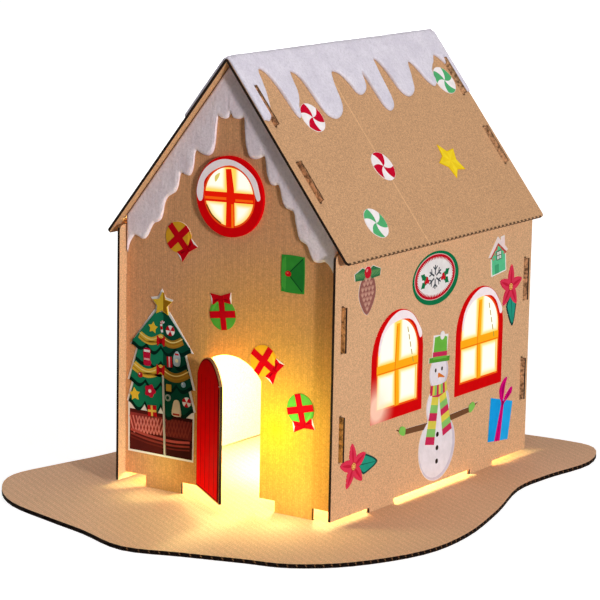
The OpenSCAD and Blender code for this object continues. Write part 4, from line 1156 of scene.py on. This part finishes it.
def arched_windows():
    """Arched windows: a red frame as an outer and an inner outline joined by a slit, amber bars and a snow
    cap. The frame and the cap glow as painted light, though they lie on the card."""
    w, h = 20.0, 46.5
    inner, sill, spring = 16.1, 5.2, h - w
    amber, ember, rust = (244, 164, 22), (240, 84, 16), (236, 116, 12)

    def arch(r, foot):
        a = np.linspace(0, np.pi, 41)
        return np.concatenate([[[-r, foot], [r, foot]], np.stack([np.cos(a) * r, spring + np.sin(a) * r], 1)])

    cap = smooth_line([[-15.4, 29.0], [-14.8, 33.6], [-12.6, 38.2], [-7.4, 42.9], [-0.8, 45.6], [5.4, 45.4],
                       [11.2, 42.8], [15.6, 38.4], [18.4, 34.6], [18.6, 32.4], [17.2, 31.9], [15.8, 34.2],
                       [13.6, 37.9], [9.8, 40.8], [4.8, 41.9], [-0.6, 41.8], [-6.4, 40.6], [-11.0, 37.2],
                       [-13.4, 32.8], [-14.2, 29.4]], 5, True)
    dashes = [strip(np.array([(7.2, 38.0), (7.9, 35.6)]) + np.array([1.1, -3.4]) * k, 0.5) for k in range(5)]
    layers = [
        # Painted light: the frame glows though it lies on the card.
        [(frame_rim(arch(w + 0.02, -0.02), arch(inner, sill)), (214, 6, 10), 0.2)],
        [(frame_rim(arch(inner + 0.35, sill - 0.35), arch(inner - 0.5, sill + 0.5)), ember, 0.6)],
        [(strip([(0.0, sill), (-0.9, 22.0), (-0.2, 40.6)], 3.5, 0.75), amber, 0.86),
         (slab((-0.2, 22.4), 2 * inner, 3.9), amber, 0.86)],
        [(strip([(-1.2, sill), (-2.1, 22.0), (-0.9, 39.6)], 0.5), rust, 0.8),
         (slab((-0.2, 20.9), 2 * inner, 0.5), rust, 0.8),
         (strip([(14.4, sill), (14.2, 20.4)], 0.5), (226, 196, 70), 0.8)],
        [(p, (176, 150, 60), 0.6) for p in dashes],
        # Painted light: the snow cap glows.
        [(cap, CAP_SNOW, 0.30)],
    ]
    bar = (-0.4, 22.4, 3.7)
    for name, plane, along in (("right_front", RIGHT, -31.5), ("right_back", RIGHT, 36),
                               ("left_front", LEFT, 31.5), ("left_back", LEFT, -36)):
        at = (along, 39.6)
        lit_panes(name + "_window_panes", plane, at, inner + 0.2, sill - 0.2, spring, bar, STICKER_T)
        print_piece(name + "_window_print", plane, at, layers, material=LIT_PRINT)


def round_window():
    """Round window on its pad: a red frame, scarlet bars lit along one side, and a snow cap with drips. The
    frame and the cap glow as painted light.
    """
    r, hole, tilt = 17.03, 12.8, 2.3
    middle = (0, 133.53)
    scarlet, flame = (232, 26, 6), (246, 96, 16)
    disc = ring(72)
    cap = smooth_line([[-16.5, -1.2], [-15.2, -3.2], [-13.8, -2.2], [-13.3, 2.0], [-12.8, 5.8], [-9.2, 9.6],
                       [-4.2, 12.2], [1.0, 13.2], [6.0, 11.6], [9.8, 8.6], [12.0, 5.0], [13.2, 1.6],
                       [14.4, -0.4], [15.7, 0.6], [15.0, 4.0], [13.4, 8.2], [10.0, 11.6], [5.0, 14.4],
                       [0, 15.6], [-4.8, 15.2], [-9.4, 13.2], [-13.2, 10.0], [-15.7, 5.6], [-16.7, 1.6]],
                      5, True)
    gleam = curve([[-7.4, 8.0], [-5.0, 9.6], [-5.6, 7.6], [-7.2, 5.6]], steps=4)
    scratch = strip(smooth_line([[-11.6, -4.4], [-8.6, -8.6], [-4.0, -11.6]], 4), 0.5)
    lit_panes("round_window_panes", FRONT, middle, hole + 0.2, -hole - 0.2, 0.0, (0.4, -0.2, 4.4), PAD_T)
    print_piece("round_window_print", FRONT, middle, [
        # Painted light: the frame glows though it lies on the pad.
        [(frame_rim(disc * r, disc * hole), (214, 4, 12), 0.3)],
        [(frame_rim(disc * (hole + 0.3), disc * (hole - 0.5)), (238, 78, 22), 0.55)],
        [(strip([(0.7, -hole), (0.5, 3.0), (-0.6, 11.6)], 4.6, 0.6), scarlet, 0.72),
         (slab((0, -0.3), 2 * hole, 4.2, tilt), scarlet, 0.72)],
        [(strip([(1.9, -hole), (1.6, -3.0)], 1.1), (246, 112, 16), 0.8),
         (slab((-7.0, -1.2), 11.0, 1.1, tilt), flame, 0.8), (slab((7.6, -1.0), 9.0, 1.0, tilt), flame, 0.8)],
        [(gleam, (226, 206, 110), 0.8), (scratch, (120, 70, 20), 0.5)],
        # Painted light: the snow cap glows.
        [(cap, CAP_SNOW, 0.22)],
    ], lift=PAD_T, material=LIT_PRINT)


arched_windows()
round_window()


# Floor, light and camera

def camera_sees(tree):
    """One for what the camera sees, straight or in reflections and glass, and nought for other light."""
    path = put(tree, "ShaderNodeLightPath").outputs
    return calc("MAXIMUM", path["Is Camera Ray"],
                calc("MAXIMUM", path["Is Glossy Ray"], path["Is Transmission Ray"]))


def show(name, data):
    """New object in the scene."""
    thing = bpy.data.objects.new(name, data)
    bpy.context.scene.collection.objects.link(thing)
    return thing


FLOOR_HALF = 6.0
FLOOR_Z = -0.0002
FLOOR_GREY = (0.5, 0.5, 0.5, 1)
WHITE_LIGHT = (1, 1, 1, 1)
WORLD_LEVEL = 0.055


def floor():
    """White studio floor that keeps shadows, and shows as white to the camera and in reflections."""
    m, bsdf, where = new_material("studio_floor")
    level = remap(away_from(where, (0, 0, 0)), 0.15, 0.6, 0.8, 1.0)
    fill(bsdf, {"Base Color": FLOOR_GREY, "Roughness": 0.9, "Specular IOR Level": 0.0,
                "Emission Color": WHITE_LIGHT, "Emission Strength": times(camera_sees(m.node_tree), level)})
    mesh = bpy.data.meshes.new("studio_floor")
    corners = [(x * FLOOR_HALF, y * FLOOR_HALF, FLOOR_Z) for x, y in ((-1, -1), (1, -1), (1, 1), (-1, 1))]
    mesh.from_pydata(corners, [], [(0, 1, 2, 3)])
    mesh.materials.append(m)
    show("studio_floor", mesh)


def world():
    """White to the camera and in reflections, a soft even light for the rest."""
    w = bpy.data.worlds.new("studio")
    bpy.context.scene.world = w
    w.use_nodes = True
    seen = camera_sees(w.node_tree)
    fill(w.node_tree.nodes["Background"],
         {"Color": WHITE_LIGHT, "Strength": remap(seen, 0.0, 1.0, WORLD_LEVEL, 1.0)})


AIM = (0, 0, 0.09)
KEY_TURN = math.radians(66.5)
KEY_RISE = math.radians(10)
KEY_AWAY = 2.5
KEY_AT = np.array(AIM) + KEY_AWAY * np.array([math.sin(KEY_TURN), -math.cos(KEY_TURN), math.tan(KEY_RISE)])
PANEL_WHITE = (1.0, 0.97, 0.96)
GLOW_YELLOW = ink(243, 255, 180)[:3]
FOOT_YELLOW = ink(243, 255, 190)[:3]

# Panels that light the house from outside: place in metres, power in watts, colour and width. They face it.
PANELS = {
    "key": (tuple(KEY_AT), 47.0, (1.0, 0.97, 0.95), 0.3),
    "sky_panel": ((0.1, -0.2, 1.6), 9.0, PANEL_WHITE, 1.2),
    "back_panel": ((-1.36, 1.65, 0.14), 24.0, PANEL_WHITE, 0.8),
}
# Light of the little lamp, in the same terms: inside the house, out of the doorway and from under the wall.
GLOWS = {
    "room_lamp": ((0, 0, 0.034), 1.1, ink(250, 252, 180)[:3], 0.012),
    "door_glow": ((0.026, -0.098, 0.038), 0.055, GLOW_YELLOW, 0.010),
    "foot_glow_left": ((-0.034, -0.089, 0.013), 0.006, FOOT_YELLOW, 0.005),
    "foot_glow_right": ((0.038, -0.089, 0.013), 0.0055, FOOT_YELLOW, 0.005),
}


def lights():
    for name, (at, power, colour, size) in {**PANELS, **GLOWS}.items():
        data = bpy.data.lights.new(name, "AREA" if name in PANELS else "POINT")
        data.energy = power
        data.color = colour
        lamp = show(name, data)
        lamp.location = at
        if name in PANELS:
            data.shape = "DISK"
            data.size = size
            lamp.rotation_euler = (Vector(AIM) - Vector(at)).to_track_quat("-Z", "Y").to_euler()
        else:
            data.shadow_soft_size = size


CAMERA_TURNS = (34.178, 11.089, 1.103)
CAMERA_AT = np.array([671.72, -1012.18, 316.10])
FOCAL_PIXELS = 2805.6
FRAME_PIXELS = 600
SENSOR = 36.0


def camera():
    """Camera of the photograph: azimuth, elevation and roll in degrees, place in millimetres, focal length
    in pixels of the square frame."""
    azimuth, elevation, roll = (math.radians(a) for a in CAMERA_TURNS)
    back = np.array([math.sin(azimuth) * math.cos(elevation), -math.cos(azimuth) * math.cos(elevation),
                     math.sin(elevation)])
    level = np.array([math.cos(azimuth), math.sin(azimuth), 0])
    rise = np.cross(back, level)
    pose = np.eye(4)
    pose[:3, 0] = math.cos(roll) * level + math.sin(roll) * rise
    pose[:3, 1] = math.cos(roll) * rise - math.sin(roll) * level
    pose[:3, 2] = back
    pose[:3, 3] = CAMERA_AT * MM
    data = bpy.data.cameras.new("camera")
    data.sensor_width = SENSOR
    data.lens = FOCAL_PIXELS * SENSOR / FRAME_PIXELS
    data.clip_start = 0.05
    data.clip_end = 50
    eye = show("camera", data)
    eye.matrix_world = Matrix(pose.tolist())
    bpy.context.scene.camera = eye


floor()
world()
lights()
camera()

bpy.context.scene.view_settings.view_transform = "Standard"
